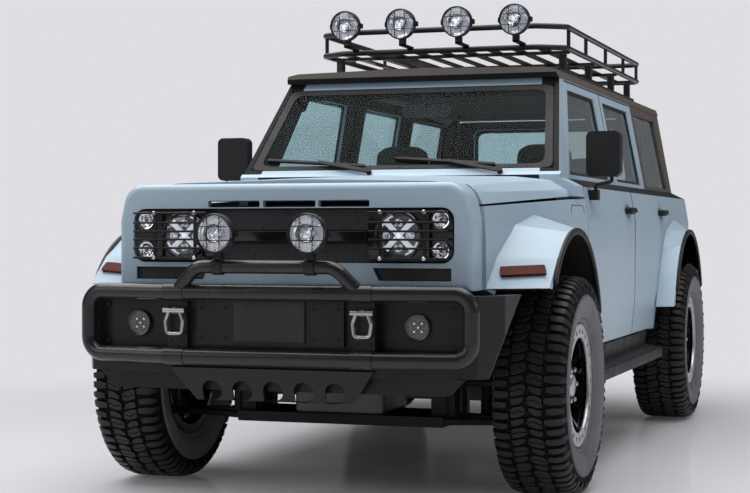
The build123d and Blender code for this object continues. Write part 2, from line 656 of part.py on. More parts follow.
# Lamp clusters: a bezel, the big round lamp and two small lamps one above the other
BEZEL_FRONT = NOSE_FRONT + 6.0 - SEAT_GAP
SMALL_LAMPS = [(577, 1060), (577, 950)]
with BuildPart() as lamp_clusters:
    for side in (-1, 1):
        with BuildSketch(nose_plane.offset(-GRILLE_DEPTH + SEAT_GAP)):
            with Locations((side * (CLUSTER_INNER_X + CLUSTER_OUTER_X) / 2, 1005)):
                RectangleRounded(CLUSTER_OUTER_X - CLUSTER_INNER_X, 184, 36)
        extrude(amount=GRILLE_DEPTH - 6)
        with BuildSketch(nose_plane.offset(-12)):
            with Locations((side * 420, 1005)):
                Circle(89)
            with Locations((side * 420, 1005)):
                Circle(78, mode=Mode.SUBTRACT)
        extrude(amount=26)
        with BuildSketch(nose_plane.offset(-12)):
            with Locations((side * 420, 1005)):
                Circle(78)
        extrude(amount=18)
        for x, z in SMALL_LAMPS:
            with BuildSketch(nose_plane.offset(-12)):
                with Locations((side * x, z)):
                    Circle(34)
            extrude(amount=18)
keep(lamp_clusters, "lamp_clusters")

# Wire guards in front of the clusters
GUARD_Y = NOSE_FRONT - 34.0
GUARD_ROD = 4.0
GUARD_LEVELS = (922.0, 958.0, 990.0, 1020.0, 1052.0, 1088.0)
GUARD_IN_X = 322.0
GUARD_OUT_X = 608.0
GUARD_POSTS = (362.0, 526.0)
with BuildPart() as lamp_guards:
    for side in (-1, 1):
        for z in GUARD_LEVELS:
            with Locations(Location((side * (GUARD_IN_X + GUARD_OUT_X) / 2, at(GUARD_Y), z), (0, 90, 0))):
                Cylinder(GUARD_ROD, GUARD_OUT_X - GUARD_IN_X + 8)
        for x in GUARD_POSTS:
            with Locations((side * x, at(GUARD_Y) + GUARD_ROD + 1, 1005)):
                Box(12, 6, GUARD_LEVELS[-1] - GUARD_LEVELS[0] + 12)
            for z in (GUARD_LEVELS[0], GUARD_LEVELS[-1]):
                with BuildSketch(Plane.XZ.offset(-at(GUARD_Y) - 2)):
                    with Locations((side * x, z)):
                        Circle(6)
                extrude(amount=-(BEZEL_FRONT - SEAT_GAP - GUARD_Y - 2))
keep(lamp_guards, "lamp_guards")

# Hood: outer skin over a hollow underside, hinged along its rear edge
HOOD_FRONT = NOSE_REAR - 10
HOOD_GAP = 6.0
HOOD_FRONT_HALF = [(SHUT_FRONT_X - 4, SHUT_FRONT_Z + 6), (SHUT_FRONT_X - 24, 1160), (640, 1188),
                   (500, 1203), (0, 1214)]
HOOD_REAR_HALF = [(SHUT_REAR_X - 14, SHUT_REAR_Z + 8), (SHUT_REAR_X - 24, 1196), (690, 1238),
                  (540, 1254), (0, 1268)]


def hood_body(drop, inset):
    front = [(x - inset if x else 0, z - drop) for x, z in HOOD_FRONT_HALF]
    rear = [(x - inset if x else 0, z - drop) for x, z in HOOD_REAR_HALF]
    with BuildPart() as cap:
        for station, half in ((HOOD_FRONT, front), (HOOD_REAR, rear)):
            with BuildSketch(Plane.XZ.offset(-at(station))):
                with BuildLine():
                    Polyline(*half, *[(-x, z) for x, z in reversed(half[:-1])], close=True)
                make_face()
        loft(ruled=True)
    return cap.part


with BuildPart() as hood:
    add(hood_body(0, 0))
    with BuildPart(mode=Mode.PRIVATE) as hood_hollow:
        add(hood_body(HOOD_THICK, HOOD_THICK))
    add(hood_hollow.part, mode=Mode.SUBTRACT)
    with Locations((0, at(SHUT_LOW + HOOD_GAP + 8), 1158)):
        Box(2 * 640, 16, 50)
    add(behind_joint(HOOD_GAP), mode=Mode.INTERSECT)
    with Locations((0, at(HOOD_REAR - 12), 1212)):
        Box(2 * 700, 24, 40)
keep(hood, "hood")

# Front fenders with their flares
FENDER_THICK = 40.0
FENDER_REAR = FRONT_DOOR_FRONT - DOOR_GAP
fender_front_line = [(702, NOSE_LOW_Z), (703, 900), (702, 1000), (SHUT_FRONT_X + 2, SHUT_FRONT_Z)]
fender_rear_line = [(SILL_X, SILL_Z), (BULGE_X, BULGE_LOW_Z), (BULGE_X, BULGE_Z), (812, SHUT_REAR_Z)]
FRONT_FLARE_IN = [(-542, 812), (-436, 925), (-230, 1046), (0, 1092), (190, 1056), (400, 930), (540, 704)]
FRONT_FLARE_OUT_ANGLES = (130, 105, 80, 55, 35, 19)
REAR_FLARE_IN = [(2447, 626), (2538, 771), (2648, 912), (2788, 1035), (3060, 1088), (3330, 1000), (3500, 760)]
REAR_FLARE_OUT_ANGLES = (150, 125, 100, 75, 50, 25)
FLARE_EDGE = ARCH_RADIUS + 12


def flare(inner, corner, angles, centre, front_x, rear_x):
    """Flare lofted from a line on the body side out to a round edge."""
    span = inner[-1][0] - inner[0][0]
    lean = math.atan2(rear_x - front_x, span)
    base = Plane(origin=(front_x, at(inner[0][0]), 0), x_dir=(math.sin(lean), math.cos(lean), 0),
                 z_dir=(math.cos(lean), -math.sin(lean), 0))
    outer = [corner]
    for angle in angles:
        turn = math.radians(angle)
        outer.append((centre + FLARE_EDGE * math.cos(turn), ARCH_Z + FLARE_EDGE * math.sin(turn)))
    with BuildPart() as bulge:
        with BuildSketch(base):
            with BuildLine():
                Polyline(*[((y - inner[0][0]) / math.cos(lean), z) for y, z in inner], close=True)
            make_face()
        with BuildSketch(Plane.YZ.offset(FLARE_X)):
            with BuildLine():
                Polyline(*[(at(y), z) for y, z in outer], close=True)
            make_face()
        loft(ruled=True)
        add(arch_prism(centre, ARCH_RADIUS, 600, 1000), mode=Mode.SUBTRACT)
    return bulge.part


with BuildPart() as fender_left:
    for station, line in ((SHUT_LOW + 4, fender_front_line), (FENDER_REAR, fender_rear_line)):
        with BuildSketch(Plane.XZ.offset(-at(station))):
            with BuildLine():
                Polyline(*line, *[(x - FENDER_THICK, z) for x, z in reversed(line)], close=True)
            make_face()
    loft(ruled=True)
    add(flare(FRONT_FLARE_IN, (-478, 815), FRONT_FLARE_OUT_ANGLES, FRONT_ARCH, 690, 776))
    add(arch_prism(FRONT_ARCH, ARCH_RADIUS, 600, 1000), mode=Mode.SUBTRACT)
    add(side_prism(FRONT_DOOR, -DOOR_GAP), mode=Mode.SUBTRACT)
with BuildPart() as front_fenders:
    add(fender_left.part)
    add(flip(fender_left.part))
keep(front_fenders, "front_fenders")

QUARTER_FACE_X = BULGE_X + SEAT_GAP
with BuildPart() as rear_flares:
    bulge = flare(REAR_FLARE_IN, (2450, 628), REAR_FLARE_OUT_ANGLES, REAR_ARCH, QUARTER_FACE_X,
                  QUARTER_FACE_X)
    add(bulge)
    add(flip(bulge))
keep(rear_flares, "rear_flares")

# Black lips round the arches
TRIM_SPANS = [(FRONT_ARCH, 17, 143), (REAR_ARCH, 20, 160)]
with BuildPart() as arch_trims:
    for centre, low, high in TRIM_SPANS:
        with BuildSketch(Plane.YZ.offset(FLARE_X + SEAT_GAP)):
            with BuildLine():
                for radius in (FLARE_EDGE, FLARE_EDGE - TRIM_WIDTH):
                    CenterArc((at(centre), ARCH_Z), radius, low, high - low)
                for angle in (low, high):
                    ca = math.cos(math.radians(angle))
                    sa = math.sin(math.radians(angle))
                    trim_edge = FLARE_EDGE - TRIM_WIDTH
                    Line((at(centre) + FLARE_EDGE * ca, ARCH_Z + FLARE_EDGE * sa),
                         (at(centre) + trim_edge * ca, ARCH_Z + trim_edge * sa))
            make_face()
        extrude(amount=TRIM_X - FLARE_X - SEAT_GAP)
    mirror(about=Plane.YZ)
keep(arch_trims, "arch_trims")

# Tyres and rims
TYRE_PROFILE = [(BEAD_HALF_WIDTH, BEAD_RADIUS), (BEAD_HALF_WIDTH, 241), (130, 272), (144, 318),
                (TYRE_HALF_WIDTH, 352), (139, 392), (122, 414), (92, TYRE_RADIUS - 2), (0, TYRE_RADIUS)]
RIM_OUT = [(BEAD_HALF_WIDTH - SEAT_GAP, BEAD_RADIUS - SEAT_GAP), (BEAD_HALF_WIDTH + SEAT_GAP, BEAD_RADIUS),
           (BEAD_HALF_WIDTH + SEAT_GAP, RING_RADIUS), (BEAD_HALF_WIDTH + 13, RING_RADIUS)]
RING_BORE = 184.0
DISC_X = 44.0
HUB_RADIUS = 74.0
BRAKE_RADIUS = 168.0
SPINDLE_LENGTH = 70.0
SPOKES = 8


# Notches between the shoulder lugs: floor of a notch as width from the middle and radius
LUGS = 24
LUG_GAP = 18.0
NOTCH_FLOOR = [(76, TYRE_RADIUS + 5), (112, TYRE_RADIUS - 20), (152, TYRE_RADIUS - 80)]


def shoulder_notches():
    """Tools that part the lugs on both shoulders, one side half a step from the other."""
    tools = []
    for side in (-1, 1):
        with BuildPart() as notch:
            with BuildSketch(Plane.XZ.offset(-LUG_GAP / 2)):
                with BuildLine():
                    Polyline(*[(r, side * a) for a, r in NOTCH_FLOOR],
                             (TYRE_RADIUS + 20, side * NOTCH_FLOOR[-1][0]),
                             (TYRE_RADIUS + 20, side * NOTCH_FLOOR[0][0]), close=True)
                make_face()
            extrude(amount=LUG_GAP)
        for index in range(LUGS):
            tools.append(Rot(0, 0, 360 * (index + side * 0.25) / LUGS) * notch.part)
    return tools


def wheel_plane(side, station, z):
    return Plane(origin=(side * HALF_TRACK, at(station), z), x_dir=(0, 1, 0), z_dir=(side, 0, 0))


def tyre_form():
    """Tyre turned about the Z axis, which points out of the vehicle, with its shoulder lugs."""
    with BuildPart() as ring:
        with BuildSketch(Plane.XZ):
            with BuildLine():
                half = [(r, a) for a, r in TYRE_PROFILE]
                Polyline(*half, *[(r, -a) for r, a in reversed(half[:-1])], close=True)
            make_face()
        revolve(axis=Axis.Z)
        add(shoulder_notches(), mode=Mode.SUBTRACT)
    return ring.part


def rim_at(plane, braked=True):
    """Rim with a bolted bead ring, spokes, a hub with a blind bore and its brake disc."""
    with BuildPart() as wheel:
        with BuildSketch(Plane.XZ):
            with BuildLine():
                outer = [(r, a) for a, r in RIM_OUT]
                inner_lip = [(r, -a) for a, r in reversed(RIM_OUT)]
                Polyline(*outer, (RING_BORE, BEAD_HALF_WIDTH + 13), (RING_BORE, BEAD_HALF_WIDTH + 2),
                         (BARREL_BORE, BEAD_HALF_WIDTH - 12), (BARREL_BORE, -BEAD_HALF_WIDTH - 13),
                         *inner_lip, close=True)
            make_face()
        revolve(axis=Axis.Z)
        with BuildSketch(Plane.XY.offset(DISC_X)):
            Circle(HUB_RADIUS + 26)
            with PolarLocations((HUB_RADIUS + BARREL_BORE) / 2 + 4, SPOKES):
                Rectangle(BARREL_BORE - HUB_RADIUS + 4, 34)
        extrude(amount=-26)
        with BuildSketch(Plane.XY.offset(HUB_INNER)):
            Circle(HUB_RADIUS)
        extrude(amount=DISC_X - HUB_INNER + 22)
        with BuildSketch(Plane.XY.offset(DISC_X + 22)):
            Circle(46)
        extrude(amount=26)
        if braked:
            with BuildSketch(Plane.XY.offset(HUB_INNER)):
                Circle(BRAKE_RADIUS)
            extrude(amount=18)
        with BuildSketch(Plane.XY.offset(HUB_INNER)):
            Circle(SPINDLE_RADIUS + RUNNING_GAP)
        extrude(amount=SPINDLE_LENGTH, mode=Mode.SUBTRACT)
    return plane.location * wheel.part


tyre_shape = tyre_form()
# Wheels: place, side and station
WHEELS = [("front_left", 1, 0.0), ("front_right", -1, 0.0), ("rear_left", 1, WHEELBASE),
          ("rear_right", -1, WHEELBASE)]
for place, side, station in WHEELS:
    plane = wheel_plane(side, station, TYRE_RADIUS)
    with BuildPart() as tyre:
        add(plane.location * tyre_shape)
    keep(tyre, f"tyre_{place}")
    with BuildPart() as rim:
        add(rim_at(plane))
    keep(rim, f"rim_{place}")
spare_plane = Plane(origin=(SPARE_X, at(REAR_MOST - TYRE_HALF_WIDTH), SPARE_Z), x_dir=(1, 0, 0),
                    z_dir=(0, 1, 0))
with BuildPart() as tyre_spare:
    add(spare_plane.location * tyre_shape)
keep(tyre_spare, "tyre_spare")
with BuildPart() as rim_spare:
    add(rim_at(spare_plane, braked=False))
keep(rim_spare, "rim_spare")

# Steering knuckles: two ears on the kingpin axis, a web and the wheel spindle
EAR_HALF = 30.0
EAR_THICK = 24.0
EAR_LOW_Z = TYRE_RADIUS - BALL_JOINT_REACH
EAR_HIGH_Z = TYRE_RADIUS + BALL_JOINT_REACH
PIN_RADIUS = 12.0
KNUCKLE_FACE_X = HALF_TRACK + HUB_INNER - 5.0
WEB_X = KINGPIN_X + PIN_RADIUS + 4.0


def hub_carrier(station, pinned):
    """Ears, web and spindle of the left side; the ears are bored where they turn on pins."""
    with BuildPart() as carrier:
        for low_z in (EAR_LOW_Z, EAR_HIGH_Z - EAR_THICK):
            with BuildSketch(Plane.XY.offset(low_z)):
                with Locations((KINGPIN_X, at(station))):
                    Circle(EAR_HALF)
                with Locations(((KINGPIN_X + KNUCKLE_FACE_X) / 2, at(station))):
                    Rectangle(KNUCKLE_FACE_X - KINGPIN_X, 2 * EAR_HALF)
            extrude(amount=EAR_THICK)
        with Locations(((WEB_X + KNUCKLE_FACE_X) / 2, at(station), TYRE_RADIUS)):
            Box(KNUCKLE_FACE_X - WEB_X, 2 * EAR_HALF, 2 * BALL_JOINT_REACH)
        with BuildSketch(Plane.YZ.offset(WEB_X)):
            with Locations((at(station), TYRE_RADIUS)):
                Circle(52)
        extrude(amount=KNUCKLE_FACE_X - WEB_X)
        with BuildSketch(Plane.YZ.offset(KNUCKLE_FACE_X)):
            with Locations((at(station), TYRE_RADIUS)):
                Circle(SPINDLE_RADIUS)
        extrude(amount=SPINDLE_LENGTH)
        if pinned:
            with Locations((KINGPIN_X, at(station), TYRE_RADIUS)):
                Cylinder(PIN_RADIUS + RUNNING_GAP, 3 * BALL_JOINT_REACH, mode=Mode.SUBTRACT)
    return carrier.part


for side in ("left", "right"):
    with BuildPart() as front_knuckle:
        front_carrier = hub_carrier(0, True)
        add(front_carrier if side == "left" else flip(front_carrier))
    keep(front_knuckle, f"front_knuckle_{side}")

# Wishbones, half shafts and dampers of one axle, joined by its cross-member
ARM_THICK = 22.0
CROSS_HEIGHT = 40.0
CROSS_TOP_Z = EAR_LOW_Z - ARM_THICK / 2 + CROSS_HEIGHT / 2
DAMPER_RADIUS = 26.0
ARM_PIVOT_X = 420.0
UPPER_PIVOT_X = 500.0
SHAFT_RADIUS = 17.0
MOTOR_HALF = 189.0
MOTOR_HEIGHT = 216.0
RAIL_INNER_X = 360.0
RAIL_OUTER_X = 440.0
RAIL_HEIGHT = 100.0
RAIL_RISE = 50.0
RAIL_LOW_Z = FRAME_TOP_Z - RAIL_HEIGHT - RAIL_RISE


def axle_side(station, damper_top, shaft_end):
    """Left half of one axle; the half shaft runs from the motor out to shaft_end."""
    with BuildPart() as half:
        for z, pivot_x, spread in ((EAR_LOW_Z - SEAT_GAP - ARM_THICK, ARM_PIVOT_X, 150),
                                   (EAR_HIGH_Z + SEAT_GAP, UPPER_PIVOT_X, 84)):
            with BuildSketch(Plane.XY.offset(z)):
                with BuildLine():
                    Polyline((KINGPIN_X, at(station - 26)), (KINGPIN_X, at(station + 26)),
                             (pivot_x, at(station + spread)), (pivot_x, at(station + spread - 44)),
                             (KINGPIN_X - 90, at(station)), (pivot_x, at(station - spread + 44)),
                             (pivot_x, at(station - spread)), close=True)
                make_face()
                with Locations((KINGPIN_X, at(station))):
                    Circle(28)
            extrude(amount=ARM_THICK)
        with Locations((DAMPER_X, at(station + DAMPER_BACK - 12), EAR_LOW_Z - SEAT_GAP - ARM_THICK / 2)):
            Box(70, 80, ARM_THICK)
        with Locations((KINGPIN_X, at(station), EAR_LOW_Z - 2 + 14)):
            Cylinder(PIN_RADIUS, 28)
        with Locations((KINGPIN_X, at(station), EAR_HIGH_Z + 2 - 14)):
            Cylinder(PIN_RADIUS, 28)
        # Cross-member end, upper bracket and damper
        with Locations(((ARM_PIVOT_X + 10) / 2, at(station), CROSS_TOP_Z - CROSS_HEIGHT / 2)):
            Box(ARM_PIVOT_X + 10, 320, CROSS_HEIGHT)
        with Locations(((RAIL_OUTER_X + SEAT_GAP + UPPER_PIVOT_X + 4) / 2, at(station), 545)):
            Box(UPPER_PIVOT_X + 4 - RAIL_OUTER_X - SEAT_GAP, 180, 74)
        for along in (-90, 90):
            with Locations((400, at(station + along), (EAR_LOW_Z + RAIL_LOW_Z + RAIL_RISE) / 2 - SEAT_GAP)):
                Box(60, 60, RAIL_LOW_Z + RAIL_RISE - EAR_LOW_Z)
            with Locations((RAIL_OUTER_X + 12, at(station + along), (EAR_LOW_Z + 545) / 2)):
                Box(22, 40, 545 - EAR_LOW_Z)
        with BuildSketch(Plane.XY.offset(EAR_LOW_Z - ARM_THICK / 2)):
            with Locations((DAMPER_X, at(station + DAMPER_BACK))):
                Circle(DAMPER_RADIUS)
        extrude(amount=damper_top - EAR_LOW_Z + ARM_THICK / 2)
        with BuildSketch(Plane.YZ.offset(MOTOR_HALF + SEAT_GAP)):
            with Locations((at(station), TYRE_RADIUS)):
                Circle(SHAFT_RADIUS)
        extrude(amount=shaft_end - MOTOR_HALF - SEAT_GAP)
    return half.part


def axle(station, pinned, damper_top):
    half = axle_side(station, damper_top, KINGPIN_X + 2 if pinned else WEB_X + 4)
    with BuildPart() as whole:
        add(half)
        add(flip(half))
        if not pinned:
            carrier = hub_carrier(station, False)
            add(carrier)
            add(flip(carrier))
    return whole


front_suspension = axle(0, True, TOWER_Z - SEAT_GAP)
keep(front_suspension, "front_suspension")
rear_suspension = axle(WHEELBASE, False, REAR_TOWER_Z - SEAT_GAP)
keep(rear_suspension, "rear_suspension")

# Ladder frame, battery and the two motors
FRAME_FRONT = -780.0
FRAME_REAR = 3560.0
with BuildPart() as chassis_frame:
    with BuildSketch(Plane.YZ.offset(RAIL_INNER_X)):
        with BuildLine():
            rail_line = [(FRAME_FRONT, RAIL_RISE), (340, RAIL_RISE), (480, 0), (2480, 0), (2620, RAIL_RISE),
                         (FRAME_REAR, RAIL_RISE)]
            low = [(at(y), RAIL_LOW_Z + z) for y, z in rail_line]
            Polyline(*low, *[(y, z + RAIL_HEIGHT) for y, z in reversed(low)], close=True)
        make_face()
    extrude(amount=RAIL_OUTER_X - RAIL_INNER_X)
    mirror(about=Plane.YZ)
    for station, rise in ((-600, RAIL_RISE), (560, 0), (1300, 0), (2300, 0), (3400, RAIL_RISE)):
        with Locations((0, at(station), RAIL_LOW_Z + RAIL_HEIGHT / 2 + rise)):
            Box(2 * RAIL_INNER_X, 70, RAIL_HEIGHT - 30)
keep(chassis_frame, "chassis_frame")

with BuildPart() as battery_pack:
    with Locations((0, at(1440), RAIL_LOW_Z - SEAT_GAP - 52)):
        Box(1260, 1760, 104)
keep(battery_pack, "battery_pack")

with BuildPart() as drive_units:
    for station in (0, WHEELBASE):
        with BuildSketch(Plane.XY.offset(CROSS_TOP_Z + SEAT_GAP)):
            with Locations((0, at(station))):
                Rectangle(2 * MOTOR_HALF, 320)
        extrude(amount=MOTOR_HEIGHT)
keep(drive_units, "drive_units")

# Front bumper: a deep channel with a wing at each end, and the mounting faces for its fittings
BUMPER_LOW_Z = 506.0
BUMPER_HIGH_Z = 794.0
BUMPER_WING = -524.0
with BuildPart() as bumper_front:
    with BuildSketch(Plane.XY.offset(BUMPER_LOW_Z)):
        with BuildLine():
            outer = [(0, at(-862)), (440, at(-862)), (560, at(-838)), (742, at(-800)), (812, at(-690)),
                     (842, at(BUMPER_WING))]
            inner = [(796, at(BUMPER_WING)), (768, at(-680)), (700, at(-760)), (0, at(-780.3))]
            half = outer + inner[:-1]
            Polyline(*half, (RAIL_OUTER_X, at(-780.3)), (-RAIL_OUTER_X, at(-780.3)),
                     *[(-x, y) for x, y in reversed(half[1:])], close=True)
        make_face()
    extrude(amount=BUMPER_HIGH_Z - BUMPER_LOW_Z)
    for side in (-1, 1):
        with BuildSketch(Plane.XZ.offset(-at(-870))):
            with Locations((side * 535, 684)):
                RectangleRounded(300, 176, 24)
        extrude(amount=-46, mode=Mode.SUBTRACT)
        # Clamp bracket between the two tubes
        with Locations((side * 357, at(-874), (LOOP_LOW_Z + LOOP_HIGH_Z) / 2)):
            Box(78, 24, LOOP_HIGH_Z - LOOP_LOW_Z)
        for z in (LOOP_LOW_Z, LOOP_HIGH_Z):
            with Locations(Location((side * 357, at(LOOP_Y), z), (0, 90, 0))):
                Cylinder(LOOP_TUBE + 3 + SEAT_GAP, 90, mode=Mode.SUBTRACT)
    # Winch cover plates and the blank panel between them
    with Locations((0, at(-872), 693)):
        Box(560, 20, 160)
    with Locations((0, at(-885), 699)):
        Box(274, 8, 147)
    # Lower lip under the channel
    with BuildSketch(Plane.XZ.offset(-at(-780))):
        with BuildLine():
            Polyline((-700, BUMPER_LOW_Z), (700, BUMPER_LOW_Z), (640, 446), (-640, 446), close=True)
        make_face()
    extrude(amount=40)
keep(bumper_front, "bumper_front")

# Tube loop round the bumper face with the lamp hoop over it
with BuildPart() as bumper_loop:
    corner = [(LOOP_HALF, LOOP_END_Y), (LOOP_BEND_X, LOOP_Y)]
    with BuildLine() as loop_path:
        top = [(x, at(y), LOOP_HIGH_Z) for x, y in corner]
        low = [(x, at(y), LOOP_LOW_Z) for x, y in corner]
        FilletPolyline(*top, *[(-x, y, z) for x, y, z in reversed(top)],
                       *[(-x, y, z) for x, y, z in low], *reversed(low),
                       radius=62, close=True)
    with BuildSketch(Plane(origin=(0, at(LOOP_Y), LOOP_HIGH_Z), z_dir=(-1, 0, 0))):
        Circle(LOOP_TUBE)
    sweep(path=loop_path.wires()[0])
    with BuildLine() as hoop_path:
        FilletPolyline((-352, at(LOOP_Y), LOOP_HIGH_Z), (-262, at(HOOP_Y), HOOP_Z), (262, at(HOOP_Y), HOOP_Z),
                       (352, at(LOOP_Y), LOOP_HIGH_Z), radius=70)
    with BuildSketch(Plane(origin=hoop_path.wires()[0] @ 0, z_dir=hoop_path.wires()[0] % 0)):
        Circle(HOOP_TUBE)
    sweep(path=hoop_path.wires()[0])
    for side in (-1, 1):
        for z in (LOOP_LOW_Z, LOOP_HIGH_Z):
            with Locations(Location((side * 357, at(LOOP_Y), z), (0, 90, 0))):
                Cylinder(LOOP_TUBE + 3, 78)
keep(bumper_loop, "bumper_loop")

# Skid plate with five D-shaped holes
with BuildPart() as skid_plate:
    lean_back = Plane(origin=(0, at(-880), 530), x_dir=(1, 0, 0), z_dir=(0, -0.94, -0.342))
    with BuildSketch(lean_back) as skid_face:
        with BuildLine():
            Polyline((-390, 0), (390, 0), (300, -128), (-300, -128), close=True)
        make_face()
        for step in range(-2, 3):
            with Locations((step * 118, -88)):
                Circle(38, mode=Mode.SUBTRACT)
            with Locations((step * 118 - 19, -107)):
                Rectangle(38, 38, mode=Mode.SUBTRACT)
    extrude(amount=-8)
keep(skid_plate, "skid_plate")

# Bow shackles on the clamp brackets
with BuildPart() as shackles:
    for side in (-1, 1):
        x = side * 357
        with BuildLine() as bow:
            FilletPolyline((x - 22, at(-912), 732), (x - 34, at(-912), 700), (x - 28, at(-912), 652),
                           (x + 28, at(-912), 652), (x + 34, at(-912), 700), (x + 22, at(-912), 732), radius=14)
        with BuildSketch(Plane(origin=bow.wires()[0] @ 0, z_dir=bow.wires()[0] % 0)):
            Circle(7)
        sweep(path=bow.wires()[0])
        with Locations(Location((x, at(-912), 736), (0, 90, 0))):
            Cylinder(10, 84)
        with Locations((x, at(-899), 736)):
            Box(22, 25.4, 22)
keep(shackles, "shackles")


def round_lamp(x, station, z, radius, depth):
    """Driving lamp that faces forward: bowl, rim, crowned lens and two crossed pairs of wires."""
    rim_y = -depth / 2
    with BuildPart() as lamp:
        with BuildSketch(Plane.YZ):
            with BuildLine():
                Polyline((rim_y - LAMP_CROWN, 0), (rim_y, radius * 0.8), (rim_y - LAMP_CROWN, radius - 8),
                         (rim_y - 2, radius), (rim_y + 22, radius), (depth / 2 - 14, radius * 0.72),
                         (depth / 2, radius * 0.4), (depth / 2, 0), close=True)
            make_face()
        revolve(axis=Axis.Y)
        reach = math.sqrt((radius - 4) ** 2 - WIRE_STEP ** 2)
        wire_y = rim_y - WIRE_REACH + WIRE_THICK / 2
        for off in (-WIRE_STEP, WIRE_STEP):
            with Locations((off, wire_y, 0)):
                Box(WIRE_THICK, WIRE_THICK, 2 * reach)
            with Locations((0, wire_y, off)):
                Box(2 * reach, WIRE_THICK, WIRE_THICK)
            for end in (-reach, reach):
                with Locations((off, (rim_y - WIRE_REACH + rim_y) / 2, end), (end, (rim_y - WIRE_REACH + rim_y) / 2, off)):
                    Box(WIRE_THICK, WIRE_REACH, WIRE_THICK)
    return Location((x, at(station), z)) * lamp.part


# Driving lamps on the hoop and the roof, and the fog lamps in the bumper
with BuildPart() as auxiliary_lamps:
    for side in (-1, 1):
        add(round_lamp(side * HOOP_LAMP_X, HOOP_Y, HOOP_LAMP_Z, LAMP_RADIUS, LAMP_DEPTH))
        hoop_top = HOOP_Z + HOOP_TUBE
        lamp_low = HOOP_LAMP_Z - LAMP_RADIUS
        with Locations((side * HOOP_LAMP_X, at(HOOP_Y), (hoop_top + lamp_low) / 2 + 6)):
            Box(30, 24, lamp_low - hoop_top + 12 - 2 * SEAT_GAP)
        with BuildSketch(Plane.XZ.offset(-at(-824 - SEAT_GAP))):
            with Locations((side * FOG_X, FOG_Z)):
                Circle(FOG_RADIUS)
        extrude(amount=16)
    for x in ROOF_LAMP_X:
        add(round_lamp(x, ROOF_LAMP_Y, ROOF_LAMP_Z, LAMP_RADIUS, LAMP_DEPTH))
        foot_z = RACK_LOW_Z + RACK_TUBE + SEAT_GAP
        with BuildSketch(Plane.XY.offset(foot_z)):
            with Locations((x, at(ROOF_LAMP_Y))):
                Rectangle(30, 24)
        extrude(amount=ROOF_LAMP_Z - LAMP_RADIUS + 12 - foot_z)
        with BuildSketch(Plane.XY.offset(foot_z)):
            with Locations((x, at((ROOF_LAMP_Y - 12 + RACK_FRONT - 12) / 2))):
                Rectangle(30, RACK_FRONT - ROOF_LAMP_Y)
        extrude(amount=8)
keep(auxiliary_lamps, "auxiliary_lamps")

# Roof rack: two tube rings, and posts between them with ends cut to seat on the tubes
RAIL_FOOT_X = 556.0
RAIL_TOP_Z = 1778.0
ROOF_AT_RAIL = SEAM_Z + 45.6
RACK_NOSE = RACK_FRONT - 20.0
POST_STATIONS = (1340.0, 1740.0, 2240.0, 2740.0, 3150.0)
POST_RADIUS = 9.0
with BuildPart() as roof_rack:
    for z in (RACK_LOW_Z, RACK_HIGH_Z):
        with BuildLine() as ring_path:
            FilletPolyline((-RACK_HALF, at(RACK_REAR), z), (-RACK_HALF, at(RACK_FRONT + 60), z),
                           (-470, at(RACK_NOSE), z), (470, at(RACK_NOSE), z),
                           (RACK_HALF, at(RACK_FRONT + 60), z), (RACK_HALF, at(RACK_REAR), z),
                           radius=60, close=True)
        with BuildSketch(Plane(origin=(0, at(RACK_NOSE), z), z_dir=(1, 0, 0))):
            Circle(RACK_TUBE)
        sweep(path=ring_path.wires()[0])
    for side in (-1, 1):
        for station in POST_STATIONS:
            with BuildPart(mode=Mode.PRIVATE) as post:
                with Locations((side * RACK_HALF, at(station), RACK_LOW_Z + RACK_HEIGHT / 2)):
                    Cylinder(POST_RADIUS, RACK_HEIGHT)
                for z in (RACK_LOW_Z, RACK_HIGH_Z):
                    with Locations(Location((side * RACK_HALF, at(station), z), (90, 0, 0))):
                        Cylinder(RACK_TUBE + SEAT_GAP, 4 * POST_RADIUS, mode=Mode.SUBTRACT)
            add(post.part)
keep(roof_rack, "roof_rack")

# Rack deck: slats on cross bars inside the lower ring, standing on two roof rails with feet
FOOT_STATIONS = (1420.0, 2020.0, 2620.0, 3100.0)
BAR_TOP_Z = RACK_LOW_Z - 1.0
BAR_THICK = 14.0
SLAT_STEP = 120.0
SLAT_INDEXES = range(-4, 5)
OUTER_SLAT_CUT = 36.0
ring_clear = RACK_TUBE + SEAT_GAP
with BuildPart() as rack_deck:
    for station in FOOT_STATIONS:
        with Locations((0, at(station), BAR_TOP_Z - BAR_THICK / 2)):
            Box(2 * (RACK_HALF - ring_clear), 30, BAR_THICK)
    for index in SLAT_INDEXES:
        outermost = abs(index) == max(SLAT_INDEXES)
        slat_front = RACK_NOSE + (OUTER_SLAT_CUT if outermost else ring_clear)
        slat_rear = RACK_REAR - ring_clear
        with Locations((index * SLAT_STEP, at((slat_front + slat_rear) / 2), RACK_LOW_Z)):
            Box(36, slat_rear - slat_front, 10)
    for side in (-1, 1):
        with Locations((side * RAIL_FOOT_X, at(2230), (ROOF_AT_RAIL + RAIL_TOP_Z) / 2)):
            Box(44, 1960, RAIL_TOP_Z - ROOF_AT_RAIL)
        foot_top = BAR_TOP_Z - BAR_THICK - SEAT_GAP
        for station in FOOT_STATIONS:
            with Locations((side * RAIL_FOOT_X, at(station), (RAIL_TOP_Z + foot_top) / 2)):
                Box(30, 44, foot_top - RAIL_TOP_Z)
keep(rack_deck, "rack_deck")

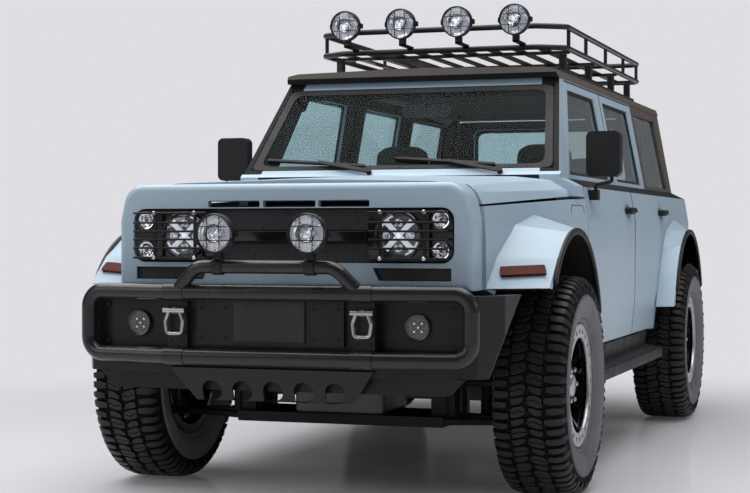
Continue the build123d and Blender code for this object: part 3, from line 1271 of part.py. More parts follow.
# Mirrors on bent arms from a bracket on the front door
for side in (1, -1):
    with BuildPart() as mirror_unit:
        with BuildSketch(Plane.XZ.offset(-at(796))):
            with Locations((868, 1356)):
                RectangleRounded(148, 197, 26)
        extrude(amount=-62)
        with BuildLine() as arm_path:
            FilletPolyline((836, at(800), 1190), (836, at(800), 1222), (904, at(812), 1236), (904, at(812), 1264),
                           radius=12)
        with BuildSketch(Plane(origin=arm_path.wires()[0] @ 0, z_dir=arm_path.wires()[0] % 0)):
            Circle(8)
        sweep(path=arm_path.wires()[0])
        with BuildSketch(Plane.XZ.offset(-at(776))):
            with BuildLine():
                Polyline((side_x(1156) + SEAT_GAP, 1156), (side_x(1200) + SEAT_GAP, 1200), (850, 1200), (850, 1156),
                         close=True)
            make_face()
        extrude(amount=-48)
        if side < 0:
            mirror(about=Plane.YZ, mode=Mode.REPLACE)
    keep(mirror_unit, "mirror_left" if side > 0 else "mirror_right")

# Inside: dashboard, steering wheel and seats
WHEEL_X = 370.0
WHEEL_TILT = math.radians(24)
wheel_axis = (0, math.cos(WHEEL_TILT), math.sin(WHEEL_TILT))
wheel_centre = (WHEEL_X, at(1020), 1110)
steer_plane = Plane(origin=wheel_centre, x_dir=(1, 0, 0), z_dir=wheel_axis)
with BuildPart() as steering_wheel:
    with BuildSketch(steer_plane.rotated((90, 0, 0))):
        with Locations((178, 0)):
            Circle(14)
    revolve(axis=Axis(wheel_centre, wheel_axis))
    with BuildSketch(steer_plane.offset(-22)):
        Circle(46)
        with Locations((0, 0)):
            Rectangle(350, 30)
        with Locations((0, -88)):
            Rectangle(34, 176)
    extrude(amount=18)
    with BuildSketch(steer_plane.offset(-64)):
        Circle(22)
    extrude(amount=44)
keep(steering_wheel, "steering_wheel")

with BuildPart() as dashboard:
    with BuildSketch(Plane.YZ.offset(-640)):
        with BuildLine():
            Polyline((at(630.3), 880), (at(630.3), 1179.7), (at(640.3), 1179.7), (at(640.3), 1195),
                     (at(700), 1215), (at(880), 1180), (at(905), 1080), (at(820), 900), close=True)
        make_face()
    extrude(amount=1280)
    with BuildSketch(steer_plane.offset(-64 - SEAT_GAP)):
        Circle(36)
    extrude(amount=-130)
keep(dashboard, "dashboard")

SEAT_X = 370.0
with BuildPart() as seats:
    for x in (-SEAT_X, SEAT_X):
        with BuildSketch(Plane.YZ.offset(x - 250)):
            with BuildLine():
                Polyline((at(1180), FLOOR_Z + SEAT_GAP), (at(1160), 760), (at(1630), 740), (at(1770), 1290),
                         (at(1880), 1280), (at(1780), 700), (at(1700), FLOOR_Z + SEAT_GAP), close=True)
            make_face()
        extrude(amount=500)
        with BuildSketch(Plane.YZ.offset(x - 130)):
            with BuildLine():
                Polyline((at(1775), 1270), (at(1795), 1440), (at(1880), 1450), (at(1876), 1270), close=True)
            make_face()
        extrude(amount=260)
    with BuildSketch(Plane.YZ.offset(-600)):
        with BuildLine():
            Polyline((at(2100), FLOOR_Z + SEAT_GAP), (at(2080), 790), (at(2540), 800), (at(2650), 1290),
                     (at(2750), 1280), (at(2690), 714), (at(2396), 714), (at(2380), FLOOR_Z + SEAT_GAP), close=True)
        make_face()
    extrude(amount=1200)
keep(seats, "seats")

# Wipers parked on the screen: x and height up the slope of pivot and blade tip
WIPERS = [(-125, -22, -624, 59), (467, -26, -22, 61)]
BLADE_THICK = 12.0
PIVOT_LIFT = 4.0
with BuildPart() as wipers:
    for pivot_x, pivot_up, tip_x, tip_up in WIPERS:
        foot_x = pivot_x + (tip_x - pivot_x) * 0.06
        mid_x = (pivot_x + tip_x) / 2
        mid_up = (pivot_up + tip_up) / 2
        with BuildSketch(screen_plane.offset(SEAT_GAP)):
            with BuildLine():
                Polyline((foot_x, 12), (foot_x, 24), (tip_x, tip_up + 6), (tip_x, tip_up - 6), close=True)
            make_face()
        extrude(amount=BLADE_THICK)
        with BuildSketch(screen_plane.offset(BLADE_THICK)):
            with BuildLine():
                Polyline((pivot_x, pivot_up - 10), (pivot_x, pivot_up + 10), (mid_x, mid_up + 26),
                         (mid_x, mid_up + 10), close=True)
            make_face()
        extrude(amount=8)
        with BuildSketch(screen_plane.offset(PIVOT_LIFT)):
            with Locations((pivot_x, pivot_up)):
                Circle(12)
        extrude(amount=BLADE_THICK + 8)
keep(wipers, "wipers")

# Rocker covers with the running boards
with BuildPart() as running_boards:
    with BuildSketch(Plane.XZ.offset(-at(560))):
        with BuildLine():
            Polyline((700, SILL_Z - SEAT_GAP), (SILL_X - 8, SILL_Z - SEAT_GAP), (SILL_X - 14, 440), (880, 428),
                     (884, 376), (760, 364), (700, 380), close=True)
        make_face()
    extrude(amount=-(2330 - 560))
    mirror(about=Plane.YZ)
keep(running_boards, "running_boards")

# Rear bumper with a square hitch receiver and its cross bore
RECEIVER_HALF = 32.0
RECEIVER_BORE = 25.5
RECEIVER_Z = 470.0
with BuildPart() as bumper_rear:
    with BuildSketch(Plane.XY.offset(430)):
        with BuildLine():
            half = [(0, at(3700)), (560, at(3700)), (780, at(3640)), (800, at(3450)), (760, at(3450)), (740, at(3610)),
                    (RAIL_OUTER_X, at(FRAME_REAR + SEAT_GAP))]
            Polyline(*half, *[(-x, y) for x, y in reversed(half[1:])], close=True)
        make_face()
    extrude(amount=SILL_Z - SEAT_GAP - 430)
    with Locations((0, at(3640), RECEIVER_Z)):
        Box(2 * RECEIVER_HALF, 220, 2 * RECEIVER_HALF)
    with Locations((0, at(3660), RECEIVER_Z)):
        Box(2 * RECEIVER_BORE, 190, 2 * RECEIVER_BORE, mode=Mode.SUBTRACT)
    with Locations(Location((0, at(3726), RECEIVER_Z), (0, 90, 0))):
        Cylinder(8, 100, mode=Mode.SUBTRACT)
keep(bumper_rear, "bumper_rear")

# Amber markers on the flares and red lamps at the tail
MARKER_SEAT = 1.3
with BuildPart() as outer_lamps:
    spot = Vector(818, at(-452), 878)
    flare_face = fender_left.faces().sort_by_distance(spot)[0]
    outward = flare_face.normal_at(spot)
    lift = (spot - flare_face.position_at(0.5, 0.5)).dot(outward)
    marker_plane = Plane(origin=spot - outward * (lift - MARKER_SEAT), x_dir=(1, 0.44, 0), z_dir=outward)
    with BuildSketch(marker_plane):
        RectangleRounded(166, 44, 8)
    extrude(amount=12)
    with BuildSketch(Plane.XZ.offset(-at(CABIN_REAR + SEAT_GAP))):
        with Locations((680, 1090)):
            RectangleRounded(104, 180, 16)
    extrude(amount=-22)
    mirror(about=Plane.YZ)
keep(outer_lamps, "outer_lamps")
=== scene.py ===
"""Looks of the electric off-road vehicle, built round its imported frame. Metres, +Z up, front towards -Y."""

import json
import math

import bmesh
import bpy
from mathutils import Matrix, Vector
from mathutils.bvhtree import BVHTree


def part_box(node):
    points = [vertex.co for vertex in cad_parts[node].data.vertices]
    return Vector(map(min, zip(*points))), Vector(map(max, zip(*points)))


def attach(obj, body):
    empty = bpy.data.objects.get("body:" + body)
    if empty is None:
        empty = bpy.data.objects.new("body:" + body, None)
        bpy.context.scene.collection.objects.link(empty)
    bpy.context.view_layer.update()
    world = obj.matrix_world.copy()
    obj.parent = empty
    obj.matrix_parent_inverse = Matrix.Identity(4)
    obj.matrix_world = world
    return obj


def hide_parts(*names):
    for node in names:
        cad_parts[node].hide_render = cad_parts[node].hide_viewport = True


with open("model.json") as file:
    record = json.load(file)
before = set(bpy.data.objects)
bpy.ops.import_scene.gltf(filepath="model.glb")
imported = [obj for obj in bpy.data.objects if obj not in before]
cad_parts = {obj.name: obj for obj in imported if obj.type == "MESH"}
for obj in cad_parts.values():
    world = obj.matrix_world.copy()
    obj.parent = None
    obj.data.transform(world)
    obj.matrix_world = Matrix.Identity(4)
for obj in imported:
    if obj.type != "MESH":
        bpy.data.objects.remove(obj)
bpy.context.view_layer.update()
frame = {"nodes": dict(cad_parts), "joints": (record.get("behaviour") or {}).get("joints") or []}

BODY = "vehicle"
JOINTS = {joint["name"]: joint for joint in frame["joints"]}
AXLE_Y = JOINTS["steer_left"]["pos_m"][1]
SIDES = ((1, "left"), (-1, "right"))
TURN = 2 * math.pi


def at(station):
    """Frame Y of a station measured behind the front axle, in metres."""
    return AXLE_Y + station


# Camera of the photograph: place from the front axle, heading and slight tilt
CAMERA_X = 2.281
CAMERA_BACK = -6.480
CAMERA_Z = 1.014
CAMERA_YAW = 0.324897
CAMERA_DROP = 0.00795
CAMERA_LENS = 81.68


def make_camera():
    data = bpy.data.cameras.new("camera")
    data.lens = CAMERA_LENS
    data.clip_end = 500
    camera = bpy.data.objects.new("camera", data)
    bpy.context.scene.collection.objects.link(camera)
    camera.location = (CAMERA_X, at(CAMERA_BACK), CAMERA_Z)
    camera.rotation_euler = (math.pi / 2 - CAMERA_DROP, 0, CAMERA_YAW)
    bpy.context.scene.camera = camera


# Materials


def shader(name):
    material = bpy.data.materials.new(name)
    material.use_nodes = True
    tree = material.node_tree
    return material, tree.nodes, tree.links, tree.nodes["Principled BSDF"]


def add_node(nodes, kind, **values):
    """New node with some of its inputs set, spaces in their names written as underscores."""
    node = nodes.new(f"ShaderNode{kind}")
    for name, value in values.items():
        node.inputs[name.replace("_", " ")].default_value = value
    return node


def noise(nodes, links, scale, detail=3.0, stretch=None):
    """Noise in object space, with its coordinates."""
    place = add_node(nodes, "TexCoord")
    texture = add_node(nodes, "TexNoise", Scale=scale, Detail=detail)
    if stretch:
        mapping = add_node(nodes, "Mapping", Scale=stretch)
        links.new(place.outputs["Object"], mapping.inputs["Vector"])
        links.new(mapping.outputs["Vector"], texture.inputs["Vector"])
    else:
        links.new(place.outputs["Object"], texture.inputs["Vector"])
    return texture


def spread(nodes, links, source, low, high):
    """Maps the middle of a noise onto a range."""
    span = add_node(nodes, "MapRange", From_Min=0.3, From_Max=0.7, To_Min=low, To_Max=high)
    links.new(source, span.inputs["Value"])
    return span.outputs["Result"]


def tint(nodes, links, factor, first, second):
    mix = nodes.new("ShaderNodeMix")
    mix.data_type = "RGBA"
    mix.inputs["A"].default_value = (*first, 1)
    mix.inputs["B"].default_value = (*second, 1)
    links.new(factor, mix.inputs["Factor"])
    return mix.outputs["Result"]


def bump(nodes, links, shape, height, strength, distance=0.001):
    node = add_node(nodes, "Bump", Strength=strength, Distance=distance)
    links.new(height, node.inputs["Height"])
    links.new(node.outputs["Normal"], shape.inputs["Normal"])


def finish(name, colour, rough, metal=0.0, vary=0.08, grain=500.0, relief=0.15, rough_vary=0.06,
           coat=0.0, patch=5.0, stretch=None):
    """Surface with slow colour changes, uneven gloss and a fine grain."""
    material, nodes, links, shape = shader(name)
    shape.inputs["Metallic"].default_value = metal
    shape.inputs["Coat Weight"].default_value = coat
    shape.inputs["Coat Roughness"].default_value = 0.12
    slow = noise(nodes, links, patch)
    dark = [c * (1 - vary) for c in colour]
    light = [min(1, c * (1 + vary)) for c in colour]
    links.new(tint(nodes, links, spread(nodes, links, slow.outputs["Fac"], 0, 1), dark, light),
              shape.inputs["Base Color"])
    gloss = noise(nodes, links, patch * 3)
    links.new(spread(nodes, links, gloss.outputs["Fac"], rough - rough_vary, rough + rough_vary),
              shape.inputs["Roughness"])
    fine = noise(nodes, links, grain, 2.0, stretch)
    bump(nodes, links, shape, fine.outputs["Fac"], relief)
    return material


def clear(name, colour, rough=0.0, waves=0.0, bend=1.45):
    """Solid glass with a tint and, for lamps, a fluted surface."""
    material, nodes, links, shape = shader(name)
    shape.inputs["Transmission Weight"].default_value = 1.0
    shape.inputs["IOR"].default_value = bend
    dirt = noise(nodes, links, 9.0)
    dark = [c * 0.96 for c in colour]
    links.new(tint(nodes, links, spread(nodes, links, dirt.outputs["Fac"], 0, 1), dark, colour),
              shape.inputs["Base Color"])
    links.new(spread(nodes, links, dirt.outputs["Fac"], rough, rough + 0.02), shape.inputs["Roughness"])
    if waves:
        ripple = noise(nodes, links, 60.0, 1.0, (1, 1, 0.25))
        bump(nodes, links, shape, ripple.outputs["Fac"], waves, 0.003)
    return material


PAINT = finish("body_paint", (0.31, 0.4, 0.475), 0.4, metal=0.05, vary=0.015, grain=900, relief=0.03,
               rough_vary=0.02, coat=0.1, patch=1.2)
ROOF = finish("roof_finish", (0.075, 0.058, 0.05), 0.5, vary=0.06, grain=700, relief=0.1, coat=0.05)
TRIM = finish("black_trim", (0.009, 0.009, 0.0095), 0.5, vary=0.12, grain=650, relief=0.35)
STEEL = finish("black_steel", (0.011, 0.011, 0.0125), 0.36, metal=0.1, vary=0.1, grain=900, relief=0.16,
               coat=0.1)
SATIN = finish("satin_tube", (0.019, 0.019, 0.021), 0.27, metal=0.35, vary=0.08, grain=900, relief=0.06,
               coat=0.2)
CHASSIS = finish("chassis_steel", (0.011, 0.011, 0.012), 0.6, vary=0.25, grain=300, relief=0.3)
CASE = finish("battery_case", (0.09, 0.09, 0.095), 0.5, metal=0.6, vary=0.15, grain=200, relief=0.2)
RUBBER = finish("tyre_rubber", (0.011, 0.011, 0.0118), 0.46, vary=0.2, grain=400, relief=0.25, patch=9)
GROOVE_RUBBER = finish("tread_bed", (0.007, 0.007, 0.008), 0.85, vary=0.2, grain=300, relief=0.2)
MESH = finish("grille_mesh", (0.075, 0.075, 0.08), 0.3, metal=0.6, vary=0.12, grain=300, relief=0.1)
LINING = finish("cabin_lining", (0.012, 0.012, 0.013), 0.8, vary=0.15, grain=900, relief=0.3)
# Handle cup: body paint darkened as painted shade, standing for the shade inside the handle's recess
CUP_PAINTED_SHADE = finish("handle_cup", (0.1, 0.135, 0.16), 0.45, metal=0.1, vary=0.05, grain=700, relief=0.05)
MIRROR = finish("mirror_glass", (0.55, 0.58, 0.6), 0.04, metal=1.0, vary=0.03, grain=40, relief=0.02,
                rough_vary=0.02)
SIDEWALL = finish("tyre_sidewall", (0.11, 0.11, 0.12), 0.55, vary=0.15, grain=500, relief=0.15, patch=7)
SEAL = finish("rubber_seal", (0.012, 0.012, 0.012), 0.75, vary=0.15, grain=500, relief=0.2)
GLOSS = finish("gloss_black", (0.008, 0.008, 0.009), 0.12, metal=0.3, vary=0.1, grain=800, relief=0.02,
               rough_vary=0.03, coat=0.8)
RING = finish("bare_ring", (0.5, 0.5, 0.52), 0.34, metal=0.9, vary=0.06, grain=600, relief=0.12,
              stretch=(1, 1, 6))
BRIGHT = finish("bright_steel", (0.42, 0.42, 0.43), 0.3, metal=1.0, vary=0.08, grain=500, relief=0.08)
CHROME = finish("chrome", (0.75, 0.76, 0.78), 0.08, metal=1.0, vary=0.03, grain=60, relief=0.12,
                rough_vary=0.04)
CLOTH = finish("seat_cloth", (0.02, 0.02, 0.022), 0.85, vary=0.2, grain=1400, relief=0.6, patch=20)
PLASTIC = finish("dash_plastic", (0.018, 0.018, 0.02), 0.7, vary=0.1, grain=900, relief=0.4)
AMBER = finish("amber_lens", (0.075, 0.008, 0.001), 0.55, vary=0.06, grain=120, relief=0.12)
RED = finish("red_lens", (0.35, 0.012, 0.012), 0.25, vary=0.08, grain=120, relief=0.12, coat=0.5)
PALE = finish("pale_lamp", (0.78, 0.8, 0.86), 0.35, vary=0.03, grain=300, relief=0.05)
DARK = finish("lamp_inside", (0.012, 0.012, 0.013), 0.35, vary=0.1, grain=300, relief=0.08, coat=0.3)
PANEL = finish("panel_grain", (0.026, 0.026, 0.027), 0.8, vary=0.12, grain=900, relief=1.0)
SCREEN = clear("screen_glass", (0.54, 0.73, 0.76), bend=1.1)
SMOKED = clear("side_glass", (0.56, 0.65, 0.66), bend=1.16)
LENS = clear("lamp_glass", (0.93, 0.94, 0.96), waves=0.7)
PLAIN_LENS = clear("plain_lens", (0.95, 0.96, 0.97))


def sockets(look):
    return look.node_tree.nodes["Principled BSDF"].inputs


# The lamp's cross glows a little, and dull finishes mirror less light than polished ones
sockets(PALE)["Emission Color"].default_value = (0.8, 0.84, 0.92, 1)
sockets(PALE)["Emission Strength"].default_value = 0.4
for look, level in ((PAINT, 0.3), (TRIM, 0.22), (STEEL, 0.25), (SATIN, 0.4), (CHASSIS, 0.25), (RUBBER, 0.28),
                    (GROOVE_RUBBER, 0.12), (SIDEWALL, 0.3), (AMBER, 0.15), (LINING, 0.2)):
    sockets(look)["Specular IOR Level"].default_value = level


# Shapes


def strip(low, high, count):
    """Faces between two rings of count points that start at low and at high."""
    return [[low + i, low + (i + 1) % count, high + (i + 1) % count, high + i] for i in range(count)]


class Form:
    """Points and faces of one piece, gathered from simple shapes."""

    def __init__(self):
        self.points = []
        self.faces = []

    def add(self, points, faces, place=None):
        start = len(self.points)
        self.points += [place @ Vector(p) if place else Vector(p) for p in points]
        self.faces += [[start + i for i in face] for face in faces]

    def turned(self, profile, steps, place=None, closed=False):
        """Turns (radius, height) points about Z. A closed profile is a ring's section."""
        points = []
        for k in range(steps):
            c, s = math.cos(TURN * k / steps), math.sin(TURN * k / steps)
            points += [(r * c, r * s, h) for r, h in profile]
        count = len(profile)
        faces = []
        for k in range(steps):
            here, there = k * count, (k + 1) % steps * count
            for i in range(count if closed else count - 1):
                j = (i + 1) % count
                faces.append([here + i, there + i, there + j, here + j])
        self.add(points, faces, place)

    def prism(self, outline, low, high, place=None):
        """Flat outline of (x, y) points raised from low to high along Z."""
        count = len(outline)
        points = [(x, y, low) for x, y in outline] + [(x, y, high) for x, y in outline]
        faces = [list(range(count))[::-1], list(range(count, 2 * count))]
        self.add(points, faces + strip(0, count, count), place)

    def block(self, size, place=None):
        x, y, z = (s / 2 for s in size)
        self.prism([(-x, -y), (x, -y), (x, y), (-x, y)], -z, z, place)

    def tube(self, path, radius, sides=12, closed=False):
        """Round tube along a path, carried without twist."""
        path = [Vector(p) for p in path]
        count = len(path)
        points = []
        normal = None
        for k, here in enumerate(path):
            ahead = path[(k + 1) % count] if closed or k < count - 1 else here
            behind = path[k - 1] if closed or k else here
            along = (ahead - behind).normalized()
            if normal is None:
                normal = along.orthogonal().normalized()
            normal = (normal - along * normal.dot(along)).normalized()
            side = along.cross(normal)
            for i in range(sides):
                a = TURN * i / sides
                points.append(here + radius * (normal * math.cos(a) + side * math.sin(a)))
        faces = []
        for k in range(count if closed else count - 1):
            faces += strip(k * sides, (k + 1) % count * sides, sides)
        if not closed:
            faces.append(list(range(sides))[::-1])
            faces.append(list(range((count - 1) * sides, count * sides)))
        self.add(points, faces)

    def bolt(self, place, radius, height):
        """Round bolt head with a chamfer and a round socket."""
        profile = [(radius, 0), (radius, height * 0.7), (radius * 0.82, height), (radius * 0.5, height),
                   (radius * 0.45, height * 0.35), (0.0001, height * 0.35)]
        self.turned(profile, 12, place)

    def piece(self, name, body, slot, material, bevel=0.0, angle=35):
        """Blender object of this form. A piece with no body is part of the stage."""
        mesh = bpy.data.meshes.new(name)
        mesh.from_pydata([tuple(p) for p in self.points], [], self.faces)
        mesh.validate()
        mesh.shade_smooth()
        mesh.set_sharp_from_angle(angle=math.radians(angle))
        mesh.materials.append(material)
        made = bpy.data.objects.new(name, mesh)
        bpy.context.scene.collection.objects.link(made)
        if bevel:
            soften(made, bevel, weld=False)
        if body:
            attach(made, body)
        return made


def soften(thing, width, segments=2, weld=True, angle=32):
    """Rounds the edges of a piece without touching its own mesh."""
    if weld:
        join = thing.modifiers.new("join", "WELD")
        join.merge_threshold = 0.00005
    edge = thing.modifiers.new("edge", "BEVEL")
    edge.width = width
    edge.segments = segments
    edge.limit_method = "ANGLE"
    edge.angle_limit = math.radians(angle)
    edge.harden_normals = False
    edge.use_clamp_overlap = True
    even = thing.modifiers.new("even", "WEIGHTED_NORMAL")
    even.keep_sharp = False


def facing(direction, origin, up=(0, 0, 1)):
    """Place whose Z points along direction and whose Y leans towards up."""
    z = Vector(direction).normalized()
    x = Vector(up).cross(z).normalized()
    y = z.cross(x)
    turn = Matrix((x, y, z)).transposed().to_4x4()
    return Matrix.Translation(Vector(origin)) @ turn


def forward(x, y, z):
    """Place that looks out of the front: local Z to the front, local Y up."""
    return facing((0, -1, 0), (x, y, z))


def polar(radius, turn):
    return (radius * math.cos(turn), radius * math.sin(turn))


def spun(k, count):
    """Turn about Z to place k of count round a circle."""
    return Matrix.Rotation(TURN * k / count, 4, "Z")


def shift(x, y, z):
    return Matrix.Translation((x, y, z))


def rounded(points, radius, steps=6, closed=False):
    """Polyline with its corners replaced by arcs."""
    points = [Vector(p) for p in points]
    count = len(points)
    path = []
    for k, corner in enumerate(points):
        if not closed and k in (0, count - 1):
            path.append(corner)
            continue
        before = points[k - 1] - corner
        after = points[(k + 1) % count] - corner
        half = before.angle(after) / 2
        reach = min(radius / math.tan(half), before.length * 0.48, after.length * 0.48)
        start = corner + before.normalized() * reach
        end = corner + after.normalized() * reach
        for i in range(steps + 1):
            t = i / steps
            path.append(start * (1 - t) ** 2 + corner * 2 * t * (1 - t) + end * t * t)
    return path


def round_rectangle(width, height, radius, steps=5):
    """Outline of a rectangle with round corners, about its middle."""
    outline = []
    for k, (sx, sy) in enumerate([(1, -1), (1, 1), (-1, 1), (-1, -1)]):
        cx, cy = sx * (width / 2 - radius), sy * (height / 2 - radius)
        for i in range(steps + 1):
            dx, dy = polar(radius, math.radians(90 * (k - 1 + i / steps)))
            outline.append((cx + dx, cy + dy))
    return outline


# Tyres: carcass with ribs, and tread blocks laid along the crown

TREAD_R = 0.425
CROWN = [(0.0, 0.425), (0.05, 0.4246), (0.092, 0.423), (0.110, 0.4185), (0.122, 0.414), (0.131, 0.404),
         (0.139, 0.392), (0.1425, 0.374), (0.145, 0.352), (0.1447, 0.34)]
GROOVE = 0.0135
LUGS = 66
LUG_PITCH = TURN * TREAD_R / LUGS
# How far the middle blocks lean along the turn, and the radius from which the carcass is the tread's bed
BLOCK_SLANT = 0.12
BED_R = 0.358


def crown_point(u):
    """Point and outward normal of the crown, u along its line from the middle: (axial, radial)."""
    left = abs(u)
    for (a0, r0), (a1, r1) in zip(CROWN, CROWN[1:]):
        span = math.hypot(a1 - a0, r1 - r0)
        if left <= span or (a1, r1) == CROWN[-1]:
            t = left / span
            da, dr = (a1 - a0) / span, (r1 - r0) / span
            sign = 1 if u >= 0 else -1
            return sign * (a0 + (a1 - a0) * t), r0 + (r1 - r0) * t, -dr * sign, da
        left -= span


def tread_point(s, u, depth):
    a, r, na, nr = crown_point(u)
    a -= na * depth
    r -= nr * depth
    return (*polar(r, s / TREAD_R), a)


def tread_block(form, strip, depth, edge=0.0016, draft=0.0022):
    """Block over stations (u, low s, high s): chamfered top and sloping walls."""
    rings = []
    for inset, down in ((edge, 0.0), (0.0, edge), (-draft, depth)):
        ring = []
        for k, (u, s0, s1) in enumerate(strip):
            step = inset if k == 0 else -inset if k == len(strip) - 1 else 0
            if strip[-1][0] < strip[0][0]:
                step = -step
            ring.append((tread_point(s0 + inset, u + step, down), tread_point(s1 - inset, u + step, down)))
        rings.append(ring)
    count = len(strip)
    points = [p for ring in rings for pair in ring for p in pair]

    def at_index(ring, k, side):
        return ring * count * 2 + k * 2 + side

    faces = []
    for k in range(count - 1):
        faces.append([at_index(0, k, 0), at_index(0, k + 1, 0), at_index(0, k + 1, 1), at_index(0, k, 1)])
        for ring in (0, 1):
            for side in (0, 1):
                faces.append([at_index(ring, k, side), at_index(ring + 1, k, side),
                              at_index(ring + 1, k + 1, side), at_index(ring, k + 1, side)])
    for k in (0, count - 1):
        for ring in (0, 1):
            faces.append([at_index(ring, k, 0), at_index(ring, k, 1), at_index(ring + 1, k, 1),
                          at_index(ring + 1, k, 0)])
    form.add(points, faces)


# Middle blocks of one step: stations of (distance from the middle, start, end) along the turn
MIDDLE_BLOCKS = [
    [(0.002, 0.012, 0.020), (0.016, 0.001, 0.0225), (0.030, 0.002, 0.0165), (0.046, 0.004, 0.0245),
     (0.060, 0.011, 0.0225)],
    [(0.002, 0.022, 0.031), (0.016, 0.0245, 0.041), (0.030, 0.0185, 0.043), (0.046, 0.0265, 0.046),
     (0.060, 0.0245, 0.040)],
    [(0.010, 0.049, 0.064), (0.030, 0.0495, 0.0755), (0.047, 0.052, 0.0770), (0.058, 0.050, 0.072)],
]


def make_tread():
    """Two middle rows of sharp-cornered blocks and alternating shoulder lugs that run down the side."""
    form = Form()
    for side in (1, -1):
        for k in range(LUGS):
            along = (k + 0.25 * side) * LUG_PITCH
            long_lug = k % 2
            foot = 0.170 if long_lug else 0.150
            inner = 0.066 if long_lug else 0.074
            wide = 0.0285 if long_lug else 0.0260
            stations = [(inner, 0.003, wide - 0.006), (0.092, 0.001, wide), (0.113, 0.000, wide),
                        (0.122, 0.001, wide - 0.001), (0.140, 0.003, wide - 0.002),
                        (foot, 0.006, wide - 0.005)]
            tread_block(form, [(side * u, along + s0, along + s1) for u, s0, s1 in stations], GROOVE)
        for k in range(LUGS // 2):
            along = (2 * k + 0.5 + side * 0.5) * LUG_PITCH
            for stations in MIDDLE_BLOCKS:
                tread_block(form, [(side * u, along + s0 + u * BLOCK_SLANT, along + s1 + u * BLOCK_SLANT)
                                   for u, s0, s1 in stations], GROOVE * 0.95)
    return form


def make_carcass():
    """Body of the tyre below the blocks, with side ribs and a bead."""
    outer = [(0.0, 0.4125), (0.06, 0.412), (0.095, 0.4085), (0.118, 0.4), (0.1285, 0.386), (0.134, 0.366),
             (0.1375, 0.352), (0.1395, 0.345), (0.1435, 0.343), (0.1435, 0.339), (0.1415, 0.336),
             (0.142, 0.318), (0.1375, 0.292), (0.1345, 0.287), (0.1345, 0.283), (0.1305, 0.274),
             (0.122, 0.262), (0.1195, 0.2555),
             (0.1195, 0.252), (0.1125, 0.246), (0.104, 0.2395), (0.101, 0.236)]
    half = [(r, a) for a, r in outer]
    profile = [(r, -a) for r, a in reversed(half[1:])] + half
    form = Form()
    form.turned(profile + [(0.232, 0.098), (0.232, -0.098)], 144, closed=True)
    return form


def side_ticks():
    """Short radial ribs in rings on the side wall."""
    form = Form()
    for ring_r, axial, count, length, width in ((0.3475, 0.1378, 138, 0.010, 0.0022),
                                                (0.262, 0.1215, 96, 0.007, 0.0016)):
        for k in range(count):
            for side in (-1, 1):
                form.block((length, width, 0.0022), spun(k, count) @ shift(ring_r, 0, side * axial))
    return form


# Rims: bead ring with holes and bolts, spokes, barrel, hub and brake

RING_OUT = 0.2368
RING_IN = 0.185
RING_FACE = 0.1128
RING_HOLES = 24
HOLE_RING_R = 0.2095
HOLE_HALF = 0.0095
SPOKES = 8
NUTS = 6


def ring_plate(form):
    """Front face of the bead ring with a round hole in each sector."""
    arc = TURN / RING_HOLES
    steps = 16
    for k in range(RING_HOLES):
        middle = arc * k
        cx, cy = polar(HOLE_RING_R, middle)
        border, inner, deep = [], [], []
        for i in range(steps):
            dx, dy = polar(1, TURN * i / steps)
            reach = max(abs(dx), abs(dy))
            ex, ey = dx / reach, dy / reach
            r = (RING_IN + RING_OUT) / 2 + ex * (RING_OUT - RING_IN) / 2 * 0.985
            border.append((*polar(r, middle + ey * arc / 2), RING_FACE))
            lx, ly = dx * HOLE_HALF, dy * HOLE_HALF * 1.25
            px = cx + lx * math.cos(middle) - ly * math.sin(middle)
            py = cy + lx * math.sin(middle) + ly * math.cos(middle)
            inner.append((px, py, RING_FACE))
            deep.append((px, py, RING_FACE - 0.009))
        faces = strip(0, steps, steps) + strip(steps, 2 * steps, steps)
        form.add(border + inner + deep, faces + [[2 * steps + i for i in range(steps)]])


# Half spoke seen from the front, with the height of each corner
SPOKE_TOP = [(0.062, 0.002, 0.062), (0.062, 0.020, 0.062), (0.130, 0.026, 0.058), (0.2045, 0.048, 0.082),
             (0.2045, 0.028, 0.082), (0.135, 0.010, 0.058)]


